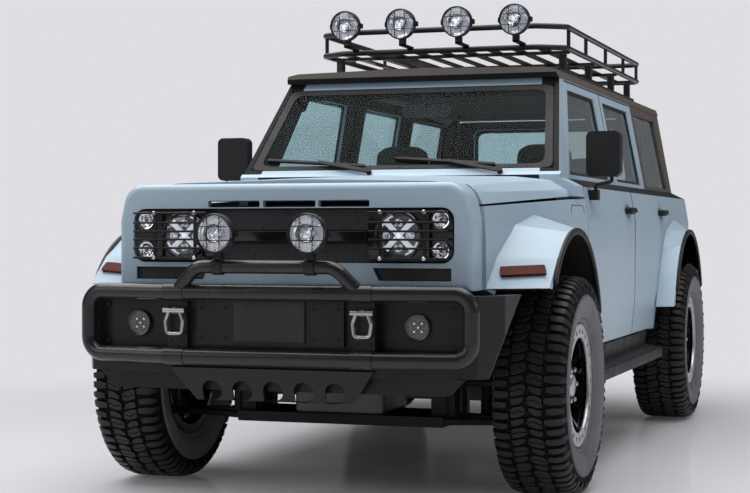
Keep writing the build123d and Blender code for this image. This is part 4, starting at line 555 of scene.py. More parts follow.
def rim_forms(braked):
    """The rim's parts by finish: ring, dark, bright."""
    ring, dark, bright = Form(), Form(), Form()
    ring_plate(ring)
    edge = (RING_OUT - RING_IN) * 0.0075
    ring.turned([(RING_OUT - edge, RING_FACE), (RING_OUT, RING_FACE - 0.002), (RING_OUT, 0.1005),
                 (0.224, 0.1005)], 96)
    ring.turned([(RING_IN + edge, RING_FACE), (RING_IN - 0.001, RING_FACE - 0.003),
                 (RING_IN - 0.001, 0.103)], 96)
    for k in range(RING_HOLES):
        bright.bolt(spun(k, RING_HOLES) @ shift(HOLE_RING_R, 0, RING_FACE - 0.0088), 0.006, 0.0055)
    # Barrel, from the ring's bore through the drop to the inner flange
    dark.turned([(0.2395, -0.1), (0.236, -0.1125), (0.206, -0.1125), (0.2045, -0.088), (0.2045, 0.086),
                 (0.186, 0.102), (0.184, 0.109)], 96)
    dark.turned([(0.2235, -0.1), (0.2235, 0.1)], 96)
    # Spokes that fork towards the barrel
    for k in range(SPOKES):
        for side in (-1, 1):
            top = [(x, side * y, h) for x, y, h in SPOKE_TOP]
            low = [(x, y * 1.08, h - 0.030) for x, y, h in top]
            count = len(top)
            faces = [list(range(count)), list(range(count, 2 * count))[::-1]]
            faces += [[i, count + i, count + (i + 1) % count, (i + 1) % count] for i in range(count)]
            dark.add(top + low, faces, spun(k + 0.5, SPOKES))
    dark.turned([(0.0001, 0.066), (0.074, 0.066), (0.086, 0.060), (0.090, 0.040), (0.086, 0.018),
                 (0.074, 0.012)], 64)
    # Cap and nuts
    bright.turned([(0.0001, 0.0915), (0.034, 0.0915), (0.041, 0.089), (0.0455, 0.082), (0.0455, 0.066)], 48)
    for k in range(NUTS):
        bright.turned([(0.0001, 0.026), (0.008, 0.026), (0.011, 0.022), (0.011, 0)], 6,
                      spun(k, NUTS) @ shift(0.066, 0, 0.0655))
    if braked:
        bright.turned([(0.076, 0.0), (0.168, 0.0), (0.168, -0.018), (0.034, -0.018)], 72)
        dark.turned([(0.034, -0.018), (0.034, 0.02), (0.074, 0.02), (0.074, -0.0)], 48)
    else:
        dark.turned([(0.032, 0.02), (0.032, -0.018), (0.074, -0.018), (0.078, 0.02)], 48)
    return ring, dark, bright


def placed(form, place):
    other = Form()
    other.add(form.points, form.faces, place)
    return other


def make_wheels():
    tread, carcass, ticks = make_tread(), make_carcass(), side_ticks()
    wheels = []
    for end in ("front", "rear"):
        for side, name in SIDES:
            spot = JOINTS[f"spin_{end}_{name}"]["pos_m"]
            wheels.append((f"{end}_{name}", f"wheel_{end}_{name}", facing((side, 0, 0), spot), True))
    low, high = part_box("tyre_spare")
    middle = (low + high) / 2
    wheels.append(("spare", "rear_gate", facing((0, 1, 0), middle), False))
    for name, body, place, braked in wheels:
        rubber = Form()
        for part in (tread, ticks):
            rubber.add(part.points, part.faces, place)
        rubber.piece(f"tread_{name}", body, "tyre_rubber", RUBBER, angle=30)
        wall = placed(carcass, place).piece(f"carcass_{name}", body, "tyre_rubber", SIDEWALL, angle=50)
        wall.data.materials.append(GROOVE_RUBBER)
        axis = place.to_3x3().col[2]
        for face in wall.data.polygons:
            arm = face.center - place.translation
            if (arm - axis * arm.dot(axis)).length > BED_R:
                face.material_index = 1
        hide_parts(f"tyre_{name}")
        ring, dark, bright = rim_forms(braked)
        placed(ring, place).piece(f"bead_ring_{name}", body, "rim_alloy", RING, angle=30)
        face = placed(dark, place).piece(f"wheel_face_{name}", body, "rim_alloy", GLOSS, bevel=0.002,
                                         angle=30)
        placed(bright, place).piece(f"wheel_bolts_{name}", body, "bright_steel", BRIGHT, angle=30)
        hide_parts(f"rim_{name}")


# Grille: perforated sheets, bar and lamp clusters

NOSE_Y = at(-0.692)
HOLE_PITCH = 0.0096


def perforated(form, inside, x0, x1, z0, z1, y, hole=0.0031, depth=0.0035):
    """Sheet of hexagon cells, each with a hole, wherever inside(x, z) is true."""
    rows = int((z1 - z0) / (HOLE_PITCH * 0.866)) + 1
    cols = int((x1 - x0) / HOLE_PITCH) + 1
    reach = HOLE_PITCH / math.sqrt(3)
    for row in range(rows):
        for col in range(cols):
            x = x0 + (col + 0.5 * (row % 2)) * HOLE_PITCH
            z = z0 + row * HOLE_PITCH * 0.866
            if not inside(x, z):
                continue
            points = []
            for r, d in ((reach, 0.0004), (hole + 0.0007, -0.0003), (hole, 0.0006), (hole * 0.93, depth)):
                for i in range(6):
                    dz, dx = polar(r, TURN * i / 6)
                    points.append((x + dx, y + d, z + dz))
            form.add(points, strip(0, 6, 6) + strip(6, 12, 6) + strip(12, 18, 6))


def make_grille():
    sheet = Form()
    face_y = NOSE_Y + 0.0236

    def middle(x, z):
        return abs(x) < 0.300 and not 0.978 < z < 1.026

    perforated(sheet, middle, -0.31, 0.31, 0.912, 1.099, face_y)
    for side in (-1, 1):

        def vent(x, z):
            slope = 0.345 - (z - 0.843) * 0.48
            return slope + 0.008 < side * x < 0.609

        low, high = (0.32, 0.612) if side > 0 else (-0.612, -0.32)
        perforated(sheet, vent, low, high, 0.849, 0.883, NOSE_Y + 0.0098)
    sheet.piece("grille_sheet", BODY, "black_trim", MESH, angle=20)
    bar = Form()
    bar.prism(round_rectangle(0.594, 0.036, 0.006), 0, 0.003, forward(0, NOSE_Y + 0.0083, 1.002))
    bar.piece("grille_bar", BODY, "black_trim", GLOSS, bevel=0.001)


def disc_facets(form, place, radius, rings, steps, height):
    """Low dome of small facets, as a cut lens."""
    points = [(0, 0, height)]
    for k in range(1, rings + 1):
        r = radius * k / rings
        h = height * math.sqrt(max(0.0, 1 - (k / rings) ** 2 * 0.9)) + (0.0012 if k % 2 else -0.0006)
        points += [(*polar(r, TURN * (i + 0.5 * (k % 2)) / steps), h) for i in range(steps)]
    faces = [[0, 1 + i, 1 + (i + 1) % steps] for i in range(steps)]
    for k in range(rings - 1):
        a, b = 1 + k * steps, 1 + (k + 1) * steps
        for i in range(steps):
            j = (i + 1) % steps
            if k % 2:
                faces += [[a + i, b + i, b + j], [a + i, b + j, a + j]]
            else:
                faces += [[a + i, b + i, a + j], [b + i, b + j, a + j]]
    form.add(points, faces, place)


CLUSTER_Z = 1.005
CLUSTER_X = 0.46
BIG_LAMP_X = 0.42
BEZEL = (0.318, 0.182, 0.036)
EDGE_LIGHT = math.radians(52)
GUARD_FRONT = at(-0.7300)


def make_clusters():
    """Lamp clusters: a big lamp with a cross, two small ones, and the screws of the guard rods."""
    for side, name in SIDES:
        bezel, dark, pale, chrome, lens = Form(), Form(), Form(), Form(), Form()
        bezel.prism(round_rectangle(*BEZEL), 0, 0.004, forward(side * CLUSTER_X, NOSE_Y + 0.014, CLUSTER_Z))
        # Ring round the big lamp, with a lit edge inside it
        lamp = forward(side * BIG_LAMP_X, NOSE_Y + 0.010, CLUSTER_Z)
        bezel.turned([(0.089, 0), (0.089, 0.017), (0.085, 0.0215), (0.080, 0.019), (0.078, 0)], 72, lamp)
        dark.turned([(0.0001, 0.001), (0.078, 0.001)], 48, lamp)
        for k in (1, 3):
            for i in range(8):
                a = math.radians(45 + 90 * k + (90 if side < 0 else 0)) + EDGE_LIGHT * (i / 8 - 0.5)
                b = a + EDGE_LIGHT / 8
                quad = [polar(0.076, a), polar(0.076, b), polar(0.070, b), polar(0.070, a)]
                pale.prism(quad, 0.001, 0.010, lamp)
        # Broad cross that narrows in the middle
        for k in range(4):
            pale.prism([(0.0, -0.0075), (0.058, -0.0095), (0.071, -0.0125), (0.071, 0.0125), (0.058, 0.0095),
                        (0.0, 0.0075)], 0.001, 0.012, lamp @ spun(k + 0.5, 4))
        for k in range(4):
            spot = lamp @ spun(k, 4) @ shift(0.043, 0, 0.001)
            chrome.turned([(0.0001, 0.001), (0.008, 0.002), (0.017, 0.009)], 16, spot)
            disc_facets(chrome, spot, 0.016, 3, 12, 0.005)
        lens.turned([(0.0001, 0.018), (0.040, 0.0175), (0.070, 0.0155), (0.0785, 0.013), (0.0785, 0.0125),
                     (0.070, 0.0145), (0.040, 0.0160), (0.0001, 0.0165)], 64, lamp)
        for z in (1.060, 0.950):
            small = forward(side * 0.577, NOSE_Y + 0.012, z)
            bezel.turned([(0.036, 0), (0.036, 0.012), (0.033, 0.0145), (0.031, 0.012), (0.031, 0.0)], 40,
                         small)
            chrome.turned([(0.0001, 0.001), (0.014, 0.003), (0.031, 0.009)], 24, small)
            disc_facets(lens, small, 0.031, 6, 20, 0.0105)
        bezel.prism(round_rectangle(*BEZEL), 0, 0.010, forward(side * CLUSTER_X, NOSE_Y + 0.0235, CLUSTER_Z))
        made = bezel.piece(f"lamp_bezel_{name}", BODY, "black_trim", GLOSS, bevel=0.0012)
        dark.piece(f"lamp_bowl_{name}", BODY, "black_trim", DARK)
        pale.piece(f"lamp_cross_{name}", BODY, "lamp_lens", PALE, bevel=0.001)
        chrome.piece(f"lamp_chrome_{name}", BODY, "lamp_lens", CHROME, angle=15)
        lens.piece(f"lamp_lens_{name}", BODY, "lamp_lens", PLAIN_LENS, angle=15)
        screws = Form()
        for x in (0.362, 0.526):
            for z in (0.922, 1.088):
                screws.bolt(forward(side * x, GUARD_FRONT, z), 0.0075, 0.0035)
        screws.piece(f"guard_screws_{name}", BODY, "bright_steel", CHROME)
    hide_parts("lamp_clusters")


# Driving lamps on the hoop and on the roof

LAMP_R = 0.072
LAMP_HALF = 0.037
CAGE_R = 0.068
CAGE_Z = 0.0505
HOOP_STATION = -0.930
HOOP_Z = 0.894
CLAMP_R = 0.0262
CLAMP_WALL = 0.003
FOG_Y = at(-0.8243)
FOG_Z = 0.684


def lamp_cage(form, place):
    """Guard of a round lamp: a ring, two crossed pairs of wires and four stays."""
    ring = [place @ Vector((*polar(CAGE_R, TURN * k / 40), CAGE_Z)) for k in range(40)]
    form.tube(ring, 0.0019, 8, closed=True)
    for off in (-0.024, 0.024):
        reach = math.sqrt(CAGE_R ** 2 - off ** 2)
        for line in ([(off, -reach, CAGE_Z), (off, reach, CAGE_Z)],
                     [(-reach, off, CAGE_Z), (reach, off, CAGE_Z)]):
            form.tube([place @ Vector(p) for p in line], 0.0017, 8)
    for k in range(4):
        a = TURN * (k + 0.5) / 4
        form.tube([place @ Vector((*polar(CAGE_R, a), CAGE_Z)), place @ Vector((*polar(0.070, a), 0.034))],
                  0.0024, 8)


def tube_clamp(form, x):
    """Band round the hoop's tube, one flat link at a time."""
    middle = Vector((x, at(HOOP_STATION), HOOP_Z))
    loop = [middle + Vector((0, *polar(CLAMP_R, TURN * k / 24))) for k in range(24)]
    half = Vector((0.019, 0, 0))
    for k, here in enumerate(loop):
        after = loop[(k + 1) % 24]
        inner = [here - half, here + half, after + half, after - half]
        lifts = [(p - middle).normalized() * CLAMP_WALL for p in (here, here, after, after)]
        form.add(inner + [p + lift for p, lift in zip(inner, lifts)],
                 [[4, 5, 6, 7], [0, 4, 7, 3], [1, 2, 6, 5], [0, 3, 2, 1]])


def make_driving_lamps():
    """Round lamps with cut glass, guards and brackets, two on the hoop and four on the roof."""
    housing, chrome, lens, clamps = Form(), Form(), Form(), Form()
    spots = [(x, HOOP_STATION, 1.012) for x in (-0.175, 0.175)]
    spots += [(x, 1.100, 1.986) for x in (-0.408, -0.136, 0.136, 0.408)]
    for x, station, z in spots:
        place = forward(x, at(station), z)
        housing.turned([(0.0001, -LAMP_HALF), (0.026, -LAMP_HALF), (0.044, -0.030), (0.060, -0.014),
                        (0.068, 0.004), (0.0715, 0.016), (0.0718, 0.036), (0.0695, 0.0395), (0.0665, 0.038),
                        (0.0655, 0.030)], 56, place)
        chrome.turned([(0.0001, -0.022), (0.012, -0.020), (0.034, -0.008), (0.055, 0.012), (0.0655, 0.031)],
                      40, place)
        chrome.turned([(0.0001, 0.012), (0.007, 0.011), (0.009, 0.004), (0.009, -0.018)], 16, place)
        disc_facets(lens, place @ shift(0, 0, 0.030), 0.0655, 9, 32, 0.0095)
        lamp_cage(housing, place)
        for side in (-1, 1):
            housing.block((0.010, 0.022, 0.026), place @ shift(side * 0.0735, 0, 0.018))
            clamps.bolt(facing((side, 0, 0), place @ Vector((side * 0.0785, 0, 0.018))), 0.005, 0.003)
        # Bracket under the lamp
        roof = z > 1.5
        foot_z = 1.8873 if roof else 0.918
        stem = z - LAMP_R - foot_z + 0.010
        clamps.block((0.030, stem, 0.024), place @ shift(0, -(LAMP_R - 0.010 + stem / 2), 0))
        if roof:
            clamps.block((0.030, 0.008, 0.140), place @ shift(0, -(z - foot_z - 0.004), -0.058))
            clamps.bolt(facing((0, 0, 1), (x, at(1.220), 1.8953), (0, 1, 0)), 0.007, 0.004)
        else:
            tube_clamp(clamps, x)
    made = housing.piece("driving_lamps", BODY, "black_steel", STEEL, angle=30)
    chrome.piece("lamp_reflectors", BODY, "lamp_lens", CHROME, angle=40)
    lens.piece("lamp_glasses", BODY, "lamp_lens", LENS, angle=10)
    clamps.piece("lamp_brackets", BODY, "black_steel", STEEL, bevel=0.0012)
    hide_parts("auxiliary_lamps")


def make_fog_lamps():
    """Fog lamps in the bumper, five small lights in each."""
    fog, cups, glass = Form(), Form(), Form()
    for side in (-1, 1):
        place = forward(side * 0.534, FOG_Y, FOG_Z)
        fog.turned([(0.0001, 0.004), (0.036, 0.004), (0.041, 0.0145), (0.0455, 0.0160), (0.048, 0.013),
                    (0.048, 0)], 48, place)
        for k in range(5):
            off = (0, 0) if k == 4 else polar(0.020, TURN * k / 4 + TURN / 8)
            spot = place @ shift(*off, 0.004)
            fog.turned([(0.0105, 0), (0.0105, 0.005), (0.009, 0.006), (0.0075, 0.001)], 20, spot)
            cups.turned([(0.0001, 0.0045), (0.004, 0.004), (0.0075, 0.001)], 16, spot)
        glass.turned([(0.0001, 0.0135), (0.0405, 0.0130), (0.0405, 0.0118), (0.0001, 0.0123)], 40, place)
    fog.piece("fog_lamps", BODY, "black_trim", DARK, angle=30)
    cups.piece("fog_lights", BODY, "lamp_lens", CHROME, angle=40)
    glass.piece("fog_glass", BODY, "lamp_lens", PLAIN_LENS, angle=30)


# Bumper details: bolts and the grained panel

BUMPER_FACE = at(-0.882)


def make_bumper():
    bolts, panel = Form(), Form()
    for side in (-1, 1):
        for x in (0.168, 0.262):
            for z in (0.640, 0.745):
                bolts.bolt(forward(side * x, BUMPER_FACE, z), 0.0065, 0.0035)
        for z in (0.6258, 0.7482):
            for x in (0.330, 0.384):
                bolts.bolt(forward(side * x, at(-0.886), z), 0.006, 0.003)
        for dx in (-0.130, 0.130):
            for dz in (-0.068, 0.068):
                bolts.bolt(forward(side * 0.535 + dx, FOG_Y, FOG_Z + dz), 0.006, 0.003)
    panel.prism(round_rectangle(0.268, 0.141, 0.004), 0, 0.0012, forward(0, at(-0.889), 0.699))
    bolts.piece("bumper_bolts", BODY, "bright_steel", STEEL)
    panel.piece("bumper_panel", BODY, "black_steel", PANEL)


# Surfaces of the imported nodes


def skin(*names):
    """Search tree over the faces of some nodes, in frame space."""
    points, faces = [], []
    for name in names:
        node = frame["nodes"][name]
        start = len(points)
        points += [node.matrix_world @ v.co for v in node.data.vertices]
        faces += [[start + i for i in face.vertices] for face in node.data.polygons]
    return BVHTree.FromPolygons(points, faces)


def flat_face(name, outward, wanted=None):
    """Corners, in order, and normal of the largest flat face that looks outward."""
    node = frame["nodes"][name]
    turn = node.matrix_world.to_3x3()
    sums = {}
    for face in node.data.polygons:
        middle = node.matrix_world @ face.center
        normal = (turn @ face.normal).normalized()
        if normal.dot(outward) < 0.75 or (wanted and not wanted(middle)):
            continue
        key = tuple(round(c, 2) for c in normal) + (round(normal.dot(middle), 3),)
        plane = sums.setdefault(key, [0.0, {}])
        plane[0] += face.area
        for i in face.vertices:
            place = node.matrix_world @ node.data.vertices[i].co
            plane[1][tuple(round(c, 5) for c in place)] = place
    key = max(sums, key=lambda k: sums[k][0])
    normal = Vector(key[:3]).normalized()
    points = list(sums[key][1].values())
    middle = sum(points, Vector()) / len(points)
    first = normal.orthogonal().normalized()
    second = normal.cross(first)
    points.sort(key=lambda p: math.atan2((p - middle).dot(second), (p - middle).dot(first)))
    corners = []
    for k, here in enumerate(points):
        before, after = here - points[k - 1], points[(k + 1) % len(points)] - here
        if before.length > 1e-5 and after.length > 1e-5 and before.angle(after) > 0.15:
            corners.append(here)
    return corners if len(corners) > 3 else points, normal


def inset(corners, normal, widths):
    """Corners of a convex outline moved inwards, each edge by its own width."""
    middle = sum(corners, Vector()) / len(corners)
    first = (corners[1] - corners[0]).normalized()
    second = normal.cross(first)
    flat = [((c - middle).dot(first), (c - middle).dot(second)) for c in corners]
    count = len(flat)
    lines = []
    for k in range(count):
        (x0, y0), (x1, y1) = flat[k], flat[(k + 1) % count]
        nx, ny = y1 - y0, x0 - x1
        length = math.hypot(nx, ny)
        nx, ny = nx / length, ny / length
        reach = nx * x0 + ny * y0
        if reach < 0:
            nx, ny, reach = -nx, -ny, -reach
        lines.append((nx, ny, reach - widths[k % len(widths)]))
    moved = []
    for k in range(count):
        ax, ay, ar = lines[k - 1]
        bx, by, br = lines[k]
        det = ax * by - ay * bx
        x, y = (ar * by - ay * br) / det, (ax * br - ar * bx) / det
        moved.append(middle + first * x + second * y)
    return moved


def ring_on(form, corners, normal, start, widths, lift, thick, radius):
    """Flat ring along the edge of an outline, with round inner corners."""
    outer = inset(corners, normal, [start])
    inner = inset(corners, normal, [start + w for w in widths])
    rings = []
    for line, r in ((outer, radius * 0.6), (inner, radius)):
        rings.append(rounded(line, r, 6, closed=True))
    count = len(rings[0])
    points = []
    for h in (lift - thick, lift):
        for ring in rings:
            points += [p + normal * h for p in ring]
    faces = []
    for k in range(count):
        j = (k + 1) % count
        faces.append([2 * count + k, 2 * count + j, 3 * count + j, 3 * count + k])
        faces.append([k, count + k, count + j, j])
        faces.append([count + k, 3 * count + k, 3 * count + j, count + j])
        faces.append([k, j, 2 * count + j, 2 * count + k])
    form.add(points, faces)


def seal_pane(name, body, corners, normal, width=0.016, radius=0.03):
    seal = Form()
    ring_on(seal, corners, normal, 0.010, [width], 0.0045, 0.0044, radius)
    seal.piece(name, body, "black_trim", SEAL, angle=30)


def make_window_edges():
    """Black border of the windscreen and rubber round the other panes."""
    place = facing((0, -0.7556, 0.655), (0, at(0.600), 1.292))
    corners = [place @ Vector(p) for p in ((-0.690, 0.003, 0), (0.690, 0.003, 0), (0.620, 0.504, 0),
                                           (-0.620, 0.504, 0))]
    border = Form()
    normal = place.to_3x3().col[2]
    ring_on(border, corners, normal, 0.0, [0.022, 0.034, 0.030, 0.034], 0.0006, 0.0008, 0.045)
    border.piece("screen_border", BODY, "black_trim", SEAL, angle=30)
    for side, name in SIDES:
        for end in ("front", "rear"):
            seal_pane(f"window_seal_{end}_{name}", f"{end}_door_{name}",
                      *flat_face(f"glass_{end}_{name}", Vector((side, 0, 0))))
        seal_pane(f"quarter_seal_{name}", BODY, *flat_face("fixed_glass", Vector((side, 0, 0))))
    back = Vector((0, 1, 0))
    corners = flat_face("glass_tailgate", back)[0]
    across, up = [c.x for c in corners], [c.z for c in corners]
    corners = [Vector((x, corners[0].y, z)) for x, z in ((min(across), min(up)), (max(across), min(up)),
                                                         (max(across), max(up)), (min(across), max(up)))]
    seal_pane("tailgate_seal", "rear_gate", corners, back, 0.020, 0.05)


HANDLE_Z = 1.118
HANDLE_TILT = math.radians(9.7)


def make_side_details():
    """Door handles, charge flap, screws of the markers and mirror glasses."""
    for side, name in SIDES:
        for end, station in (("front", 1.668), ("rear", 2.640)):
            out = (side * math.cos(HANDLE_TILT), 0, math.sin(HANDLE_TILT))
            place = facing(out, (side * 0.8192, at(station), HANDLE_Z))
            cup, grip = Form(), Form()
            # Shallow plate round the handle, coloured with painted shade where the recess would be
            cup.turned([(0.0001, 0.0004), (0.030, 0.0006), (0.037, 0.0016), (0.040, 0.0028), (0.043, 0.0)],
                       40, place @ Matrix.Diagonal((1.25, 0.82, 1, 1)))
            grip.prism(round_rectangle(0.150, 0.024, 0.010), 0.022, 0.036, place)
            for off in (-0.060, 0.060):
                grip.prism(round_rectangle(0.026, 0.030, 0.008), 0.0005, 0.028, place @ shift(off, 0, 0))
            cup.piece(f"handle_cup_{end}_{name}", f"{end}_door_{name}", "paint", CUP_PAINTED_SHADE, angle=40)
            grip.piece(f"handle_{end}_{name}", f"{end}_door_{name}", "black_trim", TRIM, bevel=0.003)
        glass = Form()
        glass.prism(round_rectangle(0.118, 0.166, 0.022), 0.0, 0.0012,
                    facing((0, 1, 0), (side * 0.868, at(0.8583), 1.356)))
        glass.piece(f"mirror_glass_{name}", f"front_door_{name}", "black_trim", MIRROR)
    tree = skin("front_fenders")
    flap = Form()
    line = []
    for x, y in round_rectangle(0.170, 0.150, 0.022, 6):
        hit = tree.ray_cast(Vector((1.4, at(0.560) + x, 1.055 + y)), Vector((-1, 0, 0)))
        if hit[0]:
            line.append(hit[0])
    flap.tube(line, 0.0016, 6, closed=True)
    flap.piece("charge_flap_line", BODY, "black_trim", SEAL)
    screws = Form()
    for side in (-1, 1):
        corners, normal = flat_face("outer_lamps", Vector((side * 0.5, -0.5, 0)).normalized(),
                                    lambda p, s=side: p.x * s > 0 and p.y < at(0.5))
        middle = sum(corners, Vector()) / len(corners)
        far = max(corners, key=lambda c: (c - middle).length)
        along = Vector((far.x - middle.x, far.y - middle.y, 0)).normalized()
        reach = max(abs((c - middle).dot(along)) for c in corners)
        for k in (-1, 1):
            screws.bolt(facing(normal, middle + along * k * (reach - 0.014)), 0.0048, 0.0016)
    screws.piece("marker_screws", BODY, "bright_steel", STEEL)


# Cabin: padded seats, inside mirror, screen and instruments


def pillow(form, size, place, power=5.0, channels=(), depth=0.008):
    """Crowned closed pad whose faces bulge and whose edges pull in, with sewn channels."""
    steps = 18
    index = {}
    points, faces = [], []

    def point(u, v, w):
        key = (round(u, 4), round(v, 4), round(w, 4))
        if key not in index:
            length = (abs(u) ** power + abs(v) ** power + abs(w) ** power) ** (1 / power)
            x, y, z = u / length, v / length, w / length
            pull = 1 - 0.05 * (abs(u) * abs(v)) ** 2 - 0.05 * (abs(u) * abs(w)) ** 2
            line = max([math.exp(-((x - c) / 0.035) ** 2) for c in channels], default=0.0)
            flat = max(abs(y), abs(z))
            move = 1 - line * depth / min(size) * 2 * flat
            index[key] = len(points)
            points.append((x * pull * size[0] / 2, y * pull * move * size[1] / 2,
                           z * pull * move * size[2] / 2))
        return index[key]

    for axis in range(3):
        for sign in (-1, 1):
            for i in range(steps):
                for j in range(steps):
                    quad = []
                    for di, dj in ((0, 0), (1, 0), (1, 1), (0, 1)):
                        a = math.tan((2 * (i + di) / steps - 1) * math.pi / 4)
                        b = math.tan((2 * (j + dj) / steps - 1) * math.pi / 4)
                        where = [0, 0, 0]
                        where[axis] = sign
                        where[(axis + 1) % 3] = a
                        where[(axis + 2) % 3] = b
                        quad.append(point(*where))
                    faces.append(quad if sign > 0 else quad[::-1])
    form.add(points, faces, place)


# Pads: name, middle (x, station, z), size and lean in degrees, and sewn channels
PADS = [
    ("seat_base_left", (0.37, 1.395, 0.790), (0.50, 0.50, 0.17), -4, (-0.52, 0.52)),
    ("seat_back_left", (0.37, 1.758, 1.020), (0.50, 0.135, 0.56), -12, (-0.52, 0.52)),
    ("headrest_left", (0.37, 1.832, 1.372), (0.27, 0.100, 0.165), -8, ()),
    ("seat_base_right", (-0.37, 1.395, 0.790), (0.50, 0.50, 0.17), -4, (-0.52, 0.52)),
    ("seat_back_right", (-0.37, 1.758, 1.020), (0.50, 0.135, 0.56), -12, (-0.52, 0.52)),
    ("headrest_right", (-0.37, 1.832, 1.372), (0.27, 0.100, 0.165), -8, ()),
    ("bench_base", (0.0, 2.330, 0.760), (1.19, 0.47, 0.18), -4, (-0.34, 0.34)),
    ("bench_back", (0.0, 2.655, 1.030), (1.19, 0.120, 0.52), -11, (-0.34, 0.34)),
    ("bench_headrest_left", (0.40, 2.715, 1.345), (0.25, 0.090, 0.150), -8, ()),
    ("bench_headrest_right", (-0.40, 2.715, 1.345), (0.25, 0.090, 0.150), -8, ()),
]


CABIN_FLOOR = 0.5405


def make_seats():
    """Padded seats and bench on their frames; the solid seats node is hidden."""
    for name, (x, station, z), size, lean, channels in PADS:
        form = Form()
        place = shift(x, at(station), z) @ Matrix.Rotation(math.radians(lean), 4, "X")
        pillow(form, size, place, 4.0 if size[0] < 0.3 else 6.0, channels)
        form.piece(name, BODY, "seat_cloth", CLOTH, angle=60)
    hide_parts("seats")
    frames, posts = Form(), Form()
    for x in (-0.37, 0.37):
        frames.prism(round_rectangle(0.40, 0.46, 0.04), CABIN_FLOOR, 0.715, shift(x, at(1.42), 0))
        for off in (-0.055, 0.055):
            posts.tube([(x + off, at(1.812), 1.26), (x + off, at(1.826), 1.32)], 0.006, 10)
    frames.prism(round_rectangle(1.16, 0.30, 0.04), CABIN_FLOOR, 0.690, shift(0, at(2.24), 0))
    for x in (-0.40, 0.40):
        for off in (-0.05, 0.05):
            posts.tube([(x + off, at(2.702), 1.26), (x + off, at(2.712), 1.30)], 0.006, 10)
    frames.piece("seat_frames", BODY, "dash_plastic", PLASTIC, bevel=0.008)
    posts.piece("headrest_posts", BODY, "bright_steel", BRIGHT)


def make_cabin():
    """Dash screens and vents, and the inside mirror on its stalk."""
    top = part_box("dashboard")[1]
    panel, trim = Form(), Form()
    panel.prism(round_rectangle(0.30, 0.165, 0.012), 0, 0.006,
                facing((0, 1, 0.12), (0.0, top.y + 0.001, top.z - 0.13)))
    panel.prism(round_rectangle(0.26, 0.120, 0.03), 0, 0.006,
                facing((0, 1, 0.2), (0.37, top.y + 0.001, top.z - 0.10)))
    panel.piece("dash_screens", BODY, "dash_plastic", GLOSS, bevel=0.002)
    for x in (-0.52, -0.24, 0.10, 0.62):
        for k in range(4):
            trim.block((0.10, 0.010, 0.004), shift(x, top.y + 0.003, top.z - 0.07 - 0.012 * k))
    mirror = facing((0, 1, -0.1), (0.02, at(0.985), 1.570))
    trim.prism(round_rectangle(0.235, 0.062, 0.024), -0.020, 0.0, mirror)
    trim.tube([mirror @ Vector((0, 0.015, -0.015)), (0.02, at(0.925), 1.640)], 0.007, 10)
    trim.piece("cabin_trim", BODY, "dash_plastic", PLASTIC, bevel=0.003)
    glass = Form()
    glass.prism(round_rectangle(0.222, 0.050, 0.018), 0.0003, 0.0012, mirror)
    glass.piece("cabin_mirror", BODY, "dash_plastic", MIRROR)


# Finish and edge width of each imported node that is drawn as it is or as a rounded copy
NODE_LOOKS = {
    "body_side_left": (PAINT, 0.003), "body_side_right": (PAINT, 0.003), "screen_frame": (PAINT, 0.002),
    "body_shell": (PAINT, 0.003), "hard_top": (ROOF, 0.005), "front_structure": (CHASSIS, 0.003),
    "rear_frame": (PAINT, 0.002), "rack_deck": (STEEL, 0.001), "hood": (PAINT, 0.004),
    "front_fenders": (PAINT, 0.004), "rear_flares": (PAINT, 0.004), "nose_panel": (PAINT, 0.004),
    "tailgate": (PAINT, 0.003), "arch_trims": (TRIM, 0.004), "grille": (TRIM, 0.001),
    "lamp_guards": (STEEL, 0.0), "fixed_glass": (SCREEN, 0.0),
    "glass_tailgate": (SMOKED, 0.0), "dashboard": (PLASTIC, 0.008), "steering_wheel": (PLASTIC, 0.003),
    "bumper_front": (STEEL, 0.005), "bumper_loop": (SATIN, 0.0),
    "skid_plate": (STEEL, 0.0015), "shackles": (BRIGHT, 0.0008), "roof_rack": (STEEL, 0.0),
    "wipers": (TRIM, 0.001), "running_boards": (TRIM, 0.006), "bumper_rear": (STEEL, 0.004),
    "outer_lamps": (AMBER, 0.002), "mirror_left": (TRIM, 0.008), "mirror_right": (TRIM, 0.008),
    "chassis_frame": (CHASSIS, 0.004), "battery_pack": (CASE, 0.006), "drive_units": (CASE, 0.02),
    "front_suspension": (CHASSIS, 0.003), "rear_suspension": (CHASSIS, 0.003),
    "front_knuckle_left": (CHASSIS, 0.002), "front_knuckle_right": (CHASSIS, 0.002),
}
for end in ("front", "rear"):
    for _, side in SIDES:
        NODE_LOOKS[f"door_{end}_{side}"] = (PAINT, 0.003)
        NODE_LOOKS[f"glass_{end}_{side}"] = (SMOKED, 0.0)


def side_line(z):
    """Half width of the body's outer skin at a height."""
    if z < 1.25:
        return 0.808
    return 0.726 - (z - 1.25) * 0.188


def hidden_side(middle, normal):
    """Whether a face of a body side or door belongs to the dark lining of the cabin."""
    side = 1 if middle.x > 0 else -1
    if middle.y < at(0.68) and middle.z < 1.33:
        return normal.x * side < -0.5
    return normal.x * side < -0.3 or abs(middle.x) < side_line(middle.z) - 0.034


def hidden_top(middle, normal):
    """Whether a face of the hard top belongs to the dark lining of the cabin."""
    inboard = abs(middle.x) < side_line(middle.z) - 0.03
    return (normal.z < -0.3 and inboard) or (inboard and middle.z < 1.69)


